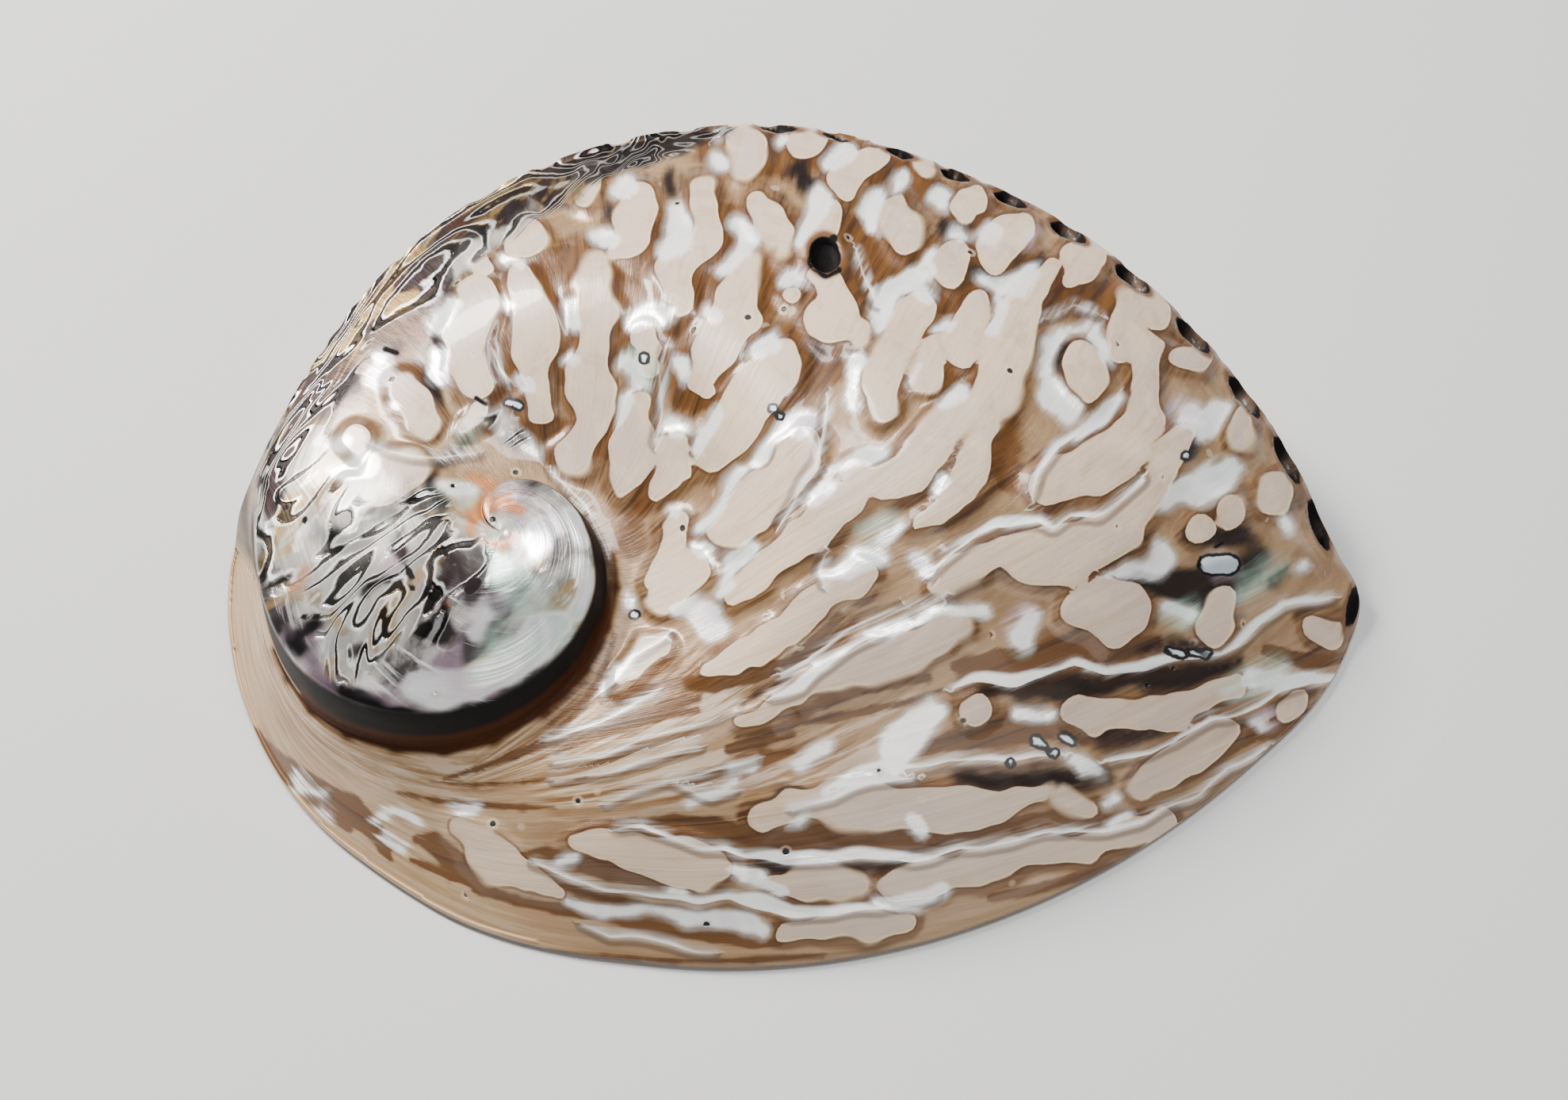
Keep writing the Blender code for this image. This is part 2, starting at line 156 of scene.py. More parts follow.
OUTLINE_STEPS = 1441
DOME_STEPS = 400
CROWDING = 0.8  # how much closer the columns stand where the outline is further off
FLANGE_ROWS = 0.75  # where the near side's back rows end, as a share of the turn's width
FLANGE_ENDS = (-60, -5)  # directions over which the back rows come to end at the keel
SPIRE_LIMIT = 0.8  # reach of the inside's rows under the spire, as a share of the vault's
SPIRE_LET_GO = 70.0  # direction from which those rows leave the suture for that reach
VAULT_EDGE = 6.0  # from the inner lip's edge to where the vault begins
TINY = 1e-6  # the least width that a share is taken of


def along(knots, column, at):
    """A smooth line through one column of knots: cubic pieces that share their slopes."""
    places, values = knots[:, 0], knots[:, column]
    slopes = np.gradient(values, places)
    at = np.clip(at, places[0], places[-1])
    left = np.clip(np.searchsorted(places, at) - 1, 0, len(places) - 2)
    step = places[left + 1] - places[left]
    share = (at - places[left]) / step
    rest = 1 - share
    return (
        values[left] * (1 + 2 * share) * rest**2
        + values[left + 1] * (3 - 2 * share) * share**2
        + step * share * rest * (slopes[left] * rest - slopes[left + 1] * share)
    )


def share_between(value, start, end):
    """How far a value has come from start to end: 0 before start and 1 after end."""
    return np.clip((value - start) / np.maximum(end - start, TINY), 0, 1)


def eased(value, start, end):
    """0 before start, 1 after end, and smooth between them."""
    share = share_between(value, start, end)
    return share * share * (3 - 2 * share)


def suture(direction):
    """Reach and height of the suture."""
    return np.maximum(along(SUTURE, 1, direction), 0), along(SUTURE, 2, direction)


def margin(direction):
    """Reach of the outline."""
    return along(MARGIN, 1, direction)


def foot(direction):
    """Reach and height of a turn's outer foot: the lip, or the suture of the turn before."""
    outer, ground = suture(direction - FULL_TURN)
    on_lip = direction < COIL_OUT + FULL_TURN
    return np.where(on_lip, margin(direction), outer), np.where(on_lip, RIM_HEIGHT, ground)


def keel(direction):
    """Reach and height of the keel, which runs just inside the lip along the near edge, or of
    the spire's shoulder past the first turn."""
    reach = np.where(direction < 0, margin(direction) - LIP_ROUND, along(KEEL, 1, direction))
    return np.clip(reach, 0, foot(direction)[0]), along(KEEL, 2, direction)


def plan(direction, reach):
    """Plan place of a direction and reach from the apex."""
    turn = np.radians(direction)
    return APEX[0] + reach * np.cos(turn), APEX[1] + reach * np.sin(turn)


def dome(direction, reach):
    """Height of the back: a paraboloid from the summit down to the keel and the near edge.

    Beside the spire, whose shoulder takes the keel's place, the two ends are joined evenly.
    """
    way = np.linspace(*DOME_WAY, DOME_STEPS)
    edge_reach, edge_height = keel(way)
    x, y = plan(way, edge_reach)
    x, y = x - SUMMIT[0], y - SUMMIT[1]
    turns = np.degrees(np.arctan2(y, x))
    order = np.argsort(turns)
    at_x, at_y = plan(direction, reach)
    at_x, at_y = at_x - SUMMIT[0], at_y - SUMMIT[1]
    turn = np.degrees(np.arctan2(at_y, at_x))
    edge = np.interp(turn, turns[order], np.hypot(x, y)[order], period=FULL_TURN)
    base = np.interp(turn, turns[order], edge_height[order], period=FULL_TURN)
    share = np.clip(np.hypot(at_x, at_y) / edge, 0, 1)
    return base + (SUMMIT_HEIGHT - base) * (1 - share**DOME_POWER)


def growth(direction, across):
    """The growth line through a place, named by the direction in which it leaves the suture."""
    late, soon = GROWTH_BOW
    bow = late + (soon - late) * eased(direction, *BOW_CHANGE)
    return direction + (along(GROWTH, 1, direction) - direction) * across**bow


def turn_height(direction, reach):
    """Height across a turn: from its suture over the back and the keel down to its foot."""
    near, low = suture(direction)
    far, high = keel(direction)
    edge, ground = foot(direction)
    across = share_between(reach, near, far)
    rise = eased(reach - near, 0, np.minimum(CHANNEL, far - near))
    domed = low + (dome(direction, reach) - low) * rise
    flange = low + (RIM_HEIGHT - low) * across ** SLOPES[0]
    domed = flange + (domed - flange) * eased(direction, *NEAR_SIDE)
    crown = 4 * across * (1 - across) * np.minimum(CROWN[0], (far - near) * CROWN[1])
    coiled = low + (high - low) * across ** SLOPES[1] + crown
    back = domed + (coiled - domed) * eased(direction, *COIL_SIDE)
    down = share_between(reach, far, edge)
    wave, power, round_power = WALL_BULGE
    stepped = 1 - (down + wave * np.sin(2 * math.pi * down)) ** power
    round_wall = np.cos(down * math.pi / 2) ** round_power
    share = stepped + (round_wall - stepped) * eased(direction, *WALL_ROUND)
    return np.where(reach <= far, back, ground + (high - ground) * share)


def outside(direction, reach):
    """Height of the outer surface at a direction, from COIL_OUT to a turn on, and a reach."""
    return np.where(
        reach >= suture(direction)[0],
        turn_height(direction, reach),
        turn_height(direction + FULL_TURN, reach),
    )


def shelf_width(direction):
    """Width of the rim seen from below: the worn edge, and the inner lip on the far side."""
    wide = eased(direction, *SHELF_SPAN[:2]) * (1 - eased(direction, *SHELF_SPAN[2:]))
    return RIM_FLAT + RIM_STEP + (SHELF_WIDTH - RIM_FLAT) * wide


def inside(direction, reach):
    """Height of the inner surface: the outer one moved in, with a slope under the spire's
    wall in place of a step, down to the inner lip and the rim."""
    edge = margin(direction)
    gap = edge - reach
    wall = LIP_WALL + (WALL - LIP_WALL) * eased(gap, 0, THICKENING)
    vault = outside(direction, reach * edge / (edge - wall)) - wall
    near, low = suture(direction)
    slope = INNER_SLOPE + (SPIRE_SLOPE - INNER_SLOPE) * eased(direction, COIL_OUT, SPIRE_END)
    under_spire = low - wall + slope * np.maximum(near - reach, 0)
    vault = np.where(reach < near, np.minimum(vault, under_spire), vault)
    shelf = shelf_width(direction)
    ledge = SHELF_RISE * np.clip(gap - RIM_FLAT, 0, shelf - RIM_FLAT)
    ledge = ledge + INNER_SLOPE * np.maximum(gap - shelf, 0)
    rim = RIM_HEIGHT * (1 - np.clip(gap / RIM_ROUND, 0, 1))
    return np.maximum(np.minimum(vault, ledge), rim)


def columns(count):
    """Plan directions round the apex, closer together where the outline is further off."""
    way = np.linspace(COIL_OUT, COIL_OUT + FULL_TURN, OUTLINE_STEPS)
    spacing = margin(way) ** CROWDING
    walked = np.concatenate([[0], np.cumsum((spacing[1:] + spacing[:-1]) / 2)])
    return np.interp(np.arange(count) / count, walked / walked[-1], way)


def spread(start, end, count):
    """Evenly spaced reaches from start up to, but without, end: one row of them a column."""
    return start[:, None] + (end - start)[:, None] * (np.arange(count) / count)


# Where things lie in the photo, in its pixels: chains of circles, each x, y and radius.

# Pale pads between the valleys
PADS = (
    ((660, 360, 19), (670, 387, 21), (677, 415, 21), (675, 445, 22), (675, 468, 18),
     (680, 484, 11)),
    ((600, 365, 15), (602, 385, 19), (592, 405, 22), (587, 420, 27), (589, 440, 20), (591, 460, 16),
     (596, 478, 18)),
    ((508, 490, 17), (520, 508, 20), (528, 526, 17)),
    ((747, 330, 13), (750, 350, 17), (753, 375, 14), (752, 395, 18), (746, 420, 16), (746, 445, 17),
     (745, 468, 24), (745, 490, 25), (746, 515, 20), (744, 540, 15), (728, 570, 21)),
    ((600, 522, 14), (588, 533, 8)),
    ((675, 505, 13), (679, 517, 11)),
    ((662, 304, 20),),
    ((600, 315, 10), (613, 335, 9)),
    ((452, 552, 13),),
    ((742, 238, 14), (745, 226, 8)),
    ((812, 240, 10), (804, 262, 15), (797, 283, 20), (796, 303, 21), (775, 315, 9)),
    ((888, 240, 11), (890, 262, 13), (892, 283, 16), (888, 300, 15), (863, 325, 19), (853, 345, 20),
     (855, 368, 15), (859, 388, 9)),
    ((945, 335, 10), (938, 350, 16), (933, 372, 20), (930, 395, 21), (906, 425, 25), (903, 447, 22),
     (897, 462, 12)),
    ((884, 478, 16), (890, 490, 9)),
    ((960, 250, 10), (968, 268, 15), (972, 288, 17), (970, 300, 12)),
    ((988, 290, 7), (989, 312, 6)),
    ((941, 175, 19), (940, 195, 18), (932, 208, 9)),
    ((1015, 180, 22),),
    ((815, 425, 15), (825, 438, 9)),
    ((815, 465, 12),),
    ((990, 445, 18), (975, 470, 22), (955, 490, 24), (940, 510, 22), (930, 530, 24), (918, 550, 24),
     (905, 568, 22), (900, 580, 15)),
    ((995, 375, 6),),
    ((1040, 275, 10),),
    ((1108, 197, 9), (1092, 198, 13), (1075, 208, 15), (1067, 225, 15), (1069, 241, 11)),
    ((1048, 270, 10), (1035, 290, 12), (1028, 310, 9)),
    ((1035, 352, 13), (1050, 368, 18), (1060, 390, 17), (1040, 402, 20), (1055, 415, 16),
     (1078, 412, 9), (1083, 428, 6)),
    ((1132, 262, 14), (1135, 275, 18), (1137, 290, 18), (1140, 302, 12)),
    ((1160, 206, 8), (1168, 212, 9)),
    ((1233, 242, 10), (1222, 252, 14), (1212, 262, 12), (1214, 275, 6)),
    ((1292, 285, 13), (1270, 290, 20), (1258, 312, 18), (1260, 330, 10)),
    ((1213, 322, 11), (1203, 330, 18), (1195, 345, 12)),
    ((1227, 381, 14), (1224, 400, 15), (1219, 420, 17), (1217, 440, 18), (1212, 456, 9)),
    ((1163, 383, 10), (1152, 400, 17), (1138, 422, 20), (1125, 445, 21), (1117, 470, 19),
     (1112, 495, 17), (1113, 518, 11)),
    ((1190, 435, 10), (1178, 448, 15), (1170, 465, 15), (1168, 482, 12)),
    ((1325, 340, 7), (1312, 362, 12), (1295, 385, 17), (1278, 405, 22), (1270, 430, 27),
     (1267, 455, 27), (1262, 478, 26), (1252, 500, 25), (1240, 518, 18), (1215, 522, 16),
     (1195, 535, 17), (1178, 552, 19), (1165, 572, 20), (1152, 592, 20), (1128, 603, 18),
     (1105, 608, 16), (1085, 605, 14)),
    ((1250, 545, 10), (1235, 560, 14), (1225, 580, 16), (1220, 600, 18), (1212, 620, 18),
     (1200, 636, 15), (1185, 647, 12), (1165, 655, 9)),
    ((1437, 428, 8), (1447, 445, 17), (1447, 465, 16), (1443, 485, 13), (1441, 510, 13),
     (1445, 535, 18), (1430, 560, 24), (1405, 578, 26), (1375, 592, 28), (1345, 602, 26),
     (1320, 618, 18)),
    ((1495, 452, 13), (1515, 450, 13)),
    ((1350, 325, 13), (1368, 328, 20), (1382, 318, 15), (1355, 350, 7)),
    ((1420, 382, 11), (1420, 400, 13), (1420, 420, 13), (1416, 440, 11)),
    ((1450, 375, 13), (1455, 390, 16), (1455, 402, 11)),
    ((1368, 445, 17), (1370, 458, 21), (1370, 478, 18), (1370, 490, 9)),
    ((1490, 545, 10), (1482, 565, 16), (1470, 588, 14), (1460, 604, 13), (1448, 622, 16),
     (1435, 645, 20), (1418, 665, 24), (1395, 680, 26), (1370, 690, 28), (1345, 700, 30),
     (1315, 702, 30), (1292, 705, 28), (1270, 695, 18), (1250, 700, 15), (1230, 706, 17),
     (1210, 714, 17), (1195, 726, 13), (1180, 738, 8)),
    ((1568, 530, 11), (1568, 548, 12), (1566, 558, 8)),
    ((1608, 612, 15), (1612, 630, 18), (1615, 640, 11)),
    ((1552, 638, 15), (1558, 650, 14)),
    ((1517, 664, 15),),
    ((1540, 765, 19), (1535, 785, 19), (1533, 797, 11)),
    ((1370, 765, 27), (1395, 765, 30), (1425, 768, 27), (1400, 788, 22)),
    ((1360, 892, 15), (1380, 903, 16), (1405, 903, 14), (1435, 905, 14), (1465, 898, 20),
     (1490, 893, 18), (1520, 880, 14), (1560, 868, 12)),
    ((1220, 893, 9), (1234, 890, 13), (1225, 900, 10)),
    ((805, 515, 13), (803, 540, 20), (798, 560, 21), (795, 580, 19), (790, 600, 15),
     (783, 612, 11)),
    ((838, 560, 10), (840, 590, 12), (835, 610, 11), (830, 625, 6)),
    ((857, 585, 10), (858, 560, 8)),
    ((1020, 560, 13), (1005, 580, 20), (990, 600, 22), (970, 620, 26), (950, 640, 28),
     (930, 660, 25), (915, 672, 16)),
    ((860, 655, 8), (852, 670, 12), (845, 690, 12), (835, 710, 11), (825, 728, 8)),
    ((872, 715, 18), (860, 730, 19), (845, 745, 16), (835, 760, 11)),
    ((1085, 590, 12), (1075, 612, 17), (1060, 637, 21), (1040, 657, 22), (1018, 675, 22),
     (995, 692, 17), (975, 705, 13), (955, 722, 13), (935, 740, 12), (920, 755, 8)),
    ((1090, 720, 12), (1072, 735, 14), (1050, 748, 14), (1030, 762, 14), (1008, 778, 14),
     (988, 795, 12), (970, 810, 12), (948, 824, 13), (920, 836, 12), (893, 846, 8)),
    ((1205, 790, 13), (1180, 805, 17), (1150, 820, 21), (1120, 830, 20), (1090, 838, 16),
     (1062, 850, 12), (1035, 860, 10), (1005, 878, 8), (975, 893, 6), (940, 908, 5)),
    ((830, 818, 9), (815, 825, 12), (800, 842, 10), (785, 855, 7)),
    ((960, 1032, 12), (1000, 1014, 17), (1050, 1013, 22), (1105, 1017, 24), (1150, 1020, 25),
     (1200, 1022, 22), (1250, 1018, 19), (1290, 1006, 12), (1320, 1002, 7)),
    ((722, 1063, 7), (760, 1068, 15), (800, 1074, 22), (850, 1086, 26), (890, 1094, 21),
     (910, 1100, 12)),
    ((575, 1040, 8), (605, 1066, 14), (630, 1088, 24), (662, 1104, 16), (690, 1118, 12),
     (705, 1126, 6)),
    ((990, 1172, 6), (1040, 1170, 12), (1090, 1168, 12), (1140, 1160, 8)),
    ((985, 1112, 10), (1020, 1112, 15), (1055, 1116, 16), (1085, 1118, 12)),
    ((1130, 1115, 14), (1180, 1108, 16), (1230, 1093, 18), (1280, 1080, 16), (1330, 1068, 14),
     (1380, 1068, 12), (1430, 1052, 12), (1470, 1035, 12)),
    ((1345, 1008, 8), (1370, 1017, 8)),
    ((1545, 922, 12), (1520, 935, 18), (1495, 955, 20), (1470, 975, 20), (1440, 995, 13)),
    ((1640, 884, 12), (1620, 895, 10)),
    ((1662, 790, 14), (1682, 798, 15)),
    ((480, 600, 22), (520, 592, 18), (450, 622, 18), (430, 650, 20)),
)
# Pale nacre with painted highlights, beside the pads and along the spire's wall
NACRE_AND_HIGHLIGHTS = (
    ((555, 455, 10), (558, 475, 10)), ((572, 382, 6), (545, 410, 7)),
    ((650, 480, 7), (663, 488, 9)),
    ((652, 545, 8), (665, 557, 8), (678, 567, 4)), ((722, 388, 9), (722, 405, 9)), ((722, 452, 8),),
    ((494, 515, 6),), ((640, 328, 5), (658, 338, 5)), ((637, 385, 6),),
    ((850, 262, 10), (855, 285, 13), (858, 305, 12), (842, 318, 8)),
    ((757, 297, 10), (770, 302, 9)),
    ((795, 232, 10), (785, 245, 9)), ((932, 287, 9), (943, 302, 12), (935, 320, 8), (912, 343, 7)),
    ((897, 400, 10),), ((863, 455, 10), (860, 470, 9)), ((975, 430, 12), (960, 445, 12)),
    ((1035, 255, 14), (1015, 285, 8), (1012, 300, 5)), ((903, 205, 9),), ((905, 173, 7),),
    ((985, 175, 6),), ((1000, 352, 12),), ((800, 405, 12), (820, 393, 12), (835, 398, 8)),
    ((795, 460, 7), (805, 485, 9)), ((1065, 190, 10), (1050, 205, 6)),
    ((1108, 245, 8), (1100, 270, 9), (1100, 285, 8)),
    ((1135, 232, 9),), ((1190, 245, 8), (1185, 258, 9)),
    ((1175, 320, 6), (1172, 345, 9), (1150, 357, 13), (1130, 368, 12), (1118, 388, 11),
     (1108, 405, 9)),
    ((1165, 372, 8),), ((1205, 297, 8), (1215, 305, 4)), ((1250, 288, 8), (1245, 300, 6)),
    ((1302, 345, 10), (1290, 365, 12), (1270, 362, 10), (1240, 350, 7)),
    ((1262, 385, 7), (1255, 410, 7)),
    ((1205, 405, 4), (1195, 412, 7), (1180, 420, 6)),
    ((1085, 460, 8), (1078, 480, 8), (1068, 512, 6)),
    ((1163, 455, 4), (1155, 478, 3)), ((1212, 498, 7), (1200, 505, 5), (1185, 515, 3)),
    ((1328, 503, 15), (1345, 513, 14), (1330, 490, 10)),
    ((1336, 420, 5), (1322, 440, 6), (1320, 455, 5), (1325, 472, 6)),
    ((1345, 413, 3), (1370, 407, 3)),
    ((1380, 415, 5), (1393, 430, 5), (1398, 448, 5)),
    ((1408, 503, 5), (1390, 528, 8), (1365, 546, 5)),
    ((1498, 520, 14), (1520, 540, 14), (1535, 515, 10)),
    ((1468, 640, 5), (1480, 625, 9), (1502, 618, 17), (1530, 605, 17), (1555, 592, 9)),
    ((1470, 700, 14), (1450, 718, 10), (1420, 725, 6), (1395, 733, 4)),
    ((1475, 765, 9), (1500, 772, 7)),
    ((1625, 662, 7),), ((1582, 858, 9), (1620, 856, 9), (1660, 854, 5)),
    ((788, 505, 6), (782, 535, 3)),
    ((860, 545, 9), (850, 535, 8)), ((905, 520, 4), (890, 548, 5), (885, 575, 5)),
    ((990, 535, 10), (1010, 540, 14), (1025, 535, 10)),
    ((985, 548, 9), (968, 565, 6), (958, 582, 4)),
    ((940, 595, 6), (920, 615, 4), (905, 642, 6), (890, 665, 5)), ((855, 645, 6),),
    ((880, 695, 8), (895, 700, 8)), ((952, 688, 7), (925, 710, 6), (915, 735, 5), (905, 752, 3)),
    ((1042, 615, 7), (1030, 630, 7)),
    ((1112, 570, 8), (1090, 572, 8), (1068, 587, 4), (1045, 600, 3)),
    ((1110, 697, 12), (1090, 702, 12), (1062, 715, 7), (1040, 730, 3)),
    ((1120, 675, 9), (1137, 658, 5)),
    ((882, 770, 10), (897, 785, 12), (912, 792, 8)), ((855, 765, 7), (870, 760, 7)),
    ((800, 765, 6), (795, 750, 5)), ((1145, 785, 9), (1122, 795, 9), (1105, 808, 4)),
    ((1165, 780, 5), (1205, 774, 5), (1243, 768, 9)), ((1292, 800, 13), (1300, 785, 9)),
    ((1165, 720, 9), (1158, 708, 8)), ((1187, 612, 7), (1180, 620, 5)),
    ((1128, 940, 20), (1162, 915, 16), (1182, 890, 8)),
    ((1118, 965, 9), (1080, 985, 6), (1040, 1000, 5)),
    ((1345, 957, 5), (1370, 967, 6), (1388, 970, 5)), ((1152, 1035, 6), (1157, 1050, 8)),
    ((1008, 1040, 4), (1018, 1032, 3)), ((1290, 905, 6), (1330, 900, 5)),
    ((775, 850, 5), (765, 865, 4)),
    ((1405, 1005, 5), (1395, 1012, 4)), ((1420, 1035, 5), (1400, 1043, 4)), ((1585, 912, 7),),
    ((440, 590, 12), (465, 580, 12), (420, 598, 7)), ((425, 560, 6), (440, 550, 7)),
    ((470, 475, 12), (490, 465, 10)),
    ((480, 450, 8),), ((1640, 715, 5),), ((470, 870, 7), (455, 845, 5)),
    ((520, 868, 12), (560, 866, 17), (600, 858, 20), (640, 838, 22), (675, 812, 20),
     (705, 785, 13)),
    ((735, 720, 7), (738, 745, 6), (728, 770, 6)), ((690, 670, 12), (670, 690, 10)),
    ((720, 650, 6), (740, 680, 5)), ((560, 620, 6), (590, 612, 6)), ((405, 830, 7), (430, 805, 9)),
    ((595, 795, 6), (620, 760, 5)), ((350, 725, 4), (350, 745, 4)), ((395, 755, 8), (410, 765, 6)),
    ((1185, 1125, 6), (1150, 1135, 8), (1110, 1140, 6)),
    ((980, 1120, 8), (960, 1107, 9), (940, 1100, 6)),
    ((372, 975, 4), (385, 992, 6), (402, 1004, 4)),
    ((470, 1035, 5), (480, 1028, 6), (497, 1025, 4)),
    ((505, 1028, 4), (528, 1038, 4)), ((575, 1020, 4), (592, 1018, 7)),
    ((402, 1022, 4), (410, 1025, 4)),
    ((480, 1058, 4), (500, 1070, 5)),
    ((720, 1136, 4), (760, 1148, 6), (830, 1150, 5), (900, 1155, 11),
     (940, 1165, 10), (960, 1174, 4)), ((705, 1083, 4), (722, 1083, 5)),
    ((925, 1097, 6), (940, 1103, 9),
     (960, 1112, 6)), ((840, 1123, 3), (860, 1123, 3)), ((995, 1040, 4), (1010, 1030, 3)),
    ((865, 1012, 3), (900, 1000, 4), (925, 990, 3)), ((1010, 960, 4), (1040, 945, 6)),
    ((920, 972, 4), (945, 970, 6)),
)
# Grey-brown shade between the pads and round the spire
SHADOWS = (
    ((1400, 740, 8), (1440, 733, 15), (1480, 735, 23), (1520, 742, 24), (1560, 728, 22),
     (1588, 700, 14)),
    ((1505, 672, 9), (1535, 678, 12), (1570, 680, 14)),
    ((1240, 868, 6), (1290, 872, 14), (1340, 866, 16), (1400, 862, 15), (1450, 857, 15),
     (1505, 845, 13),
     (1560, 835, 8)),
    ((1215, 985, 10), (1260, 985, 15), (1300, 980, 17), (1345, 985, 13), (1395, 975, 10)),
    ((1390, 928, 9), (1430, 930, 10), (1465, 925, 7)),
    ((1440, 822, 8), (1480, 815, 8), (1520, 818, 7)),
    ((545, 430, 12), (550, 500, 9)),
    ((1020, 235, 13),), ((1010, 215, 10),), ((1035, 425, 7), (1033, 440, 8)),
    ((1308, 330, 8), (1313, 348, 8)), ((1235, 340, 9), (1255, 348, 9)), ((1505, 565, 12),),
    ((1190, 290, 10), (1215, 290, 6)), ((1340, 440, 9), (1338, 470, 8)), ((770, 268, 7),),
    ((960, 1085, 8), (1000, 1092, 10), (1050, 1086, 9), (1100, 1086, 8), (1150, 1092, 9),
     (1180, 1088, 5)),
    ((930, 895, 4), (955, 875, 5), (1000, 855, 5)), ((1010, 992, 4), (985, 998, 4)),
    ((640, 905, 12), (560, 912, 12), (480, 895, 12), (400, 850, 10), (355, 780, 8)),
    ((700, 868, 14), (750, 810, 13), (768, 740, 8), (760, 680, 6)),
    ((565, 690, 9), (570, 725, 9), (540, 745, 8)), ((400, 790, 9), (385, 795, 7)),
    ((430, 420, 16), (450, 430, 16)),
    ((440, 480, 18), (410, 515, 13)), ((360, 560, 12), (350, 600, 10)),
    ((520, 350, 20), (495, 375, 16)),
    ((848, 222, 9), (848, 236, 9)), ((592, 738, 8), (600, 730, 7)), ((625, 745, 8), (632, 768, 8)),
    ((370, 625, 9), (350, 635, 9)), ((1610, 730, 10), (1618, 718, 6)),
    ((340, 690, 6), (342, 720, 5)),
    ((410, 460, 14), (380, 510, 14), (357, 570, 13), (341, 640, 12), (336, 710, 11)),
    ((545, 372, 12), (520, 378, 9)), ((478, 448, 8), (500, 440, 9)),
    ((590, 285, 10), (650, 262, 8)),
    ((735, 205, 7), (770, 198, 8), (830, 188, 6)), ((690, 240, 9), (660, 225, 7)),
    ((440, 400, 12), (420, 440, 12)), ((395, 480, 10), (385, 520, 10)),
    ((350, 560, 8), (345, 600, 7)),
    ((490, 375, 8), (515, 368, 9), (540, 370, 7)), ((612, 272, 6), (640, 266, 8), (655, 262, 4)),
    ((545, 300, 12), (545, 320, 10)), ((530, 345, 10), (555, 350, 14), (565, 365, 10)),
    ((705, 222, 6), (725, 222, 5)), ((760, 202, 4), (785, 206, 5)), ((690, 245, 5), (715, 255, 5)),
    ((440, 405, 14), (460, 420, 10)), ((415, 450, 10), (400, 470, 12)),
    ((520, 628, 9), (535, 645, 8)), ((465, 742, 8), (485, 735, 7)), ((505, 700, 10), (500, 670, 7)),
    ((452, 815, 7), (440, 825, 6)), ((545, 640, 10), (540, 600, 6)), ((590, 560, 6), (560, 580, 6)),
)
# Spots worn black
BLACKS = (
    ((1052, 300, 5), (1040, 315, 9), (1030, 330, 11), (1042, 343, 8), (1058, 340, 5)),
    ((592, 742, 9), (600, 735, 8)), ((512, 700, 4), (517, 730, 6), (520, 745, 4)),
    ((560, 690, 6), (562, 705, 4)), ((383, 655, 4), (380, 660, 3)), ((408, 778, 5), (375, 778, 4)),
    ((355, 618, 4), (348, 635, 4)), ((485, 440, 4), (500, 445, 3)), ((470, 415, 4),),
    ((600, 502, 3), (612, 510, 3)), ((1532, 690, 3), (1545, 682, 3)),
    ((1515, 702, 2), (1512, 712, 2), (1522, 722, 2)),
)
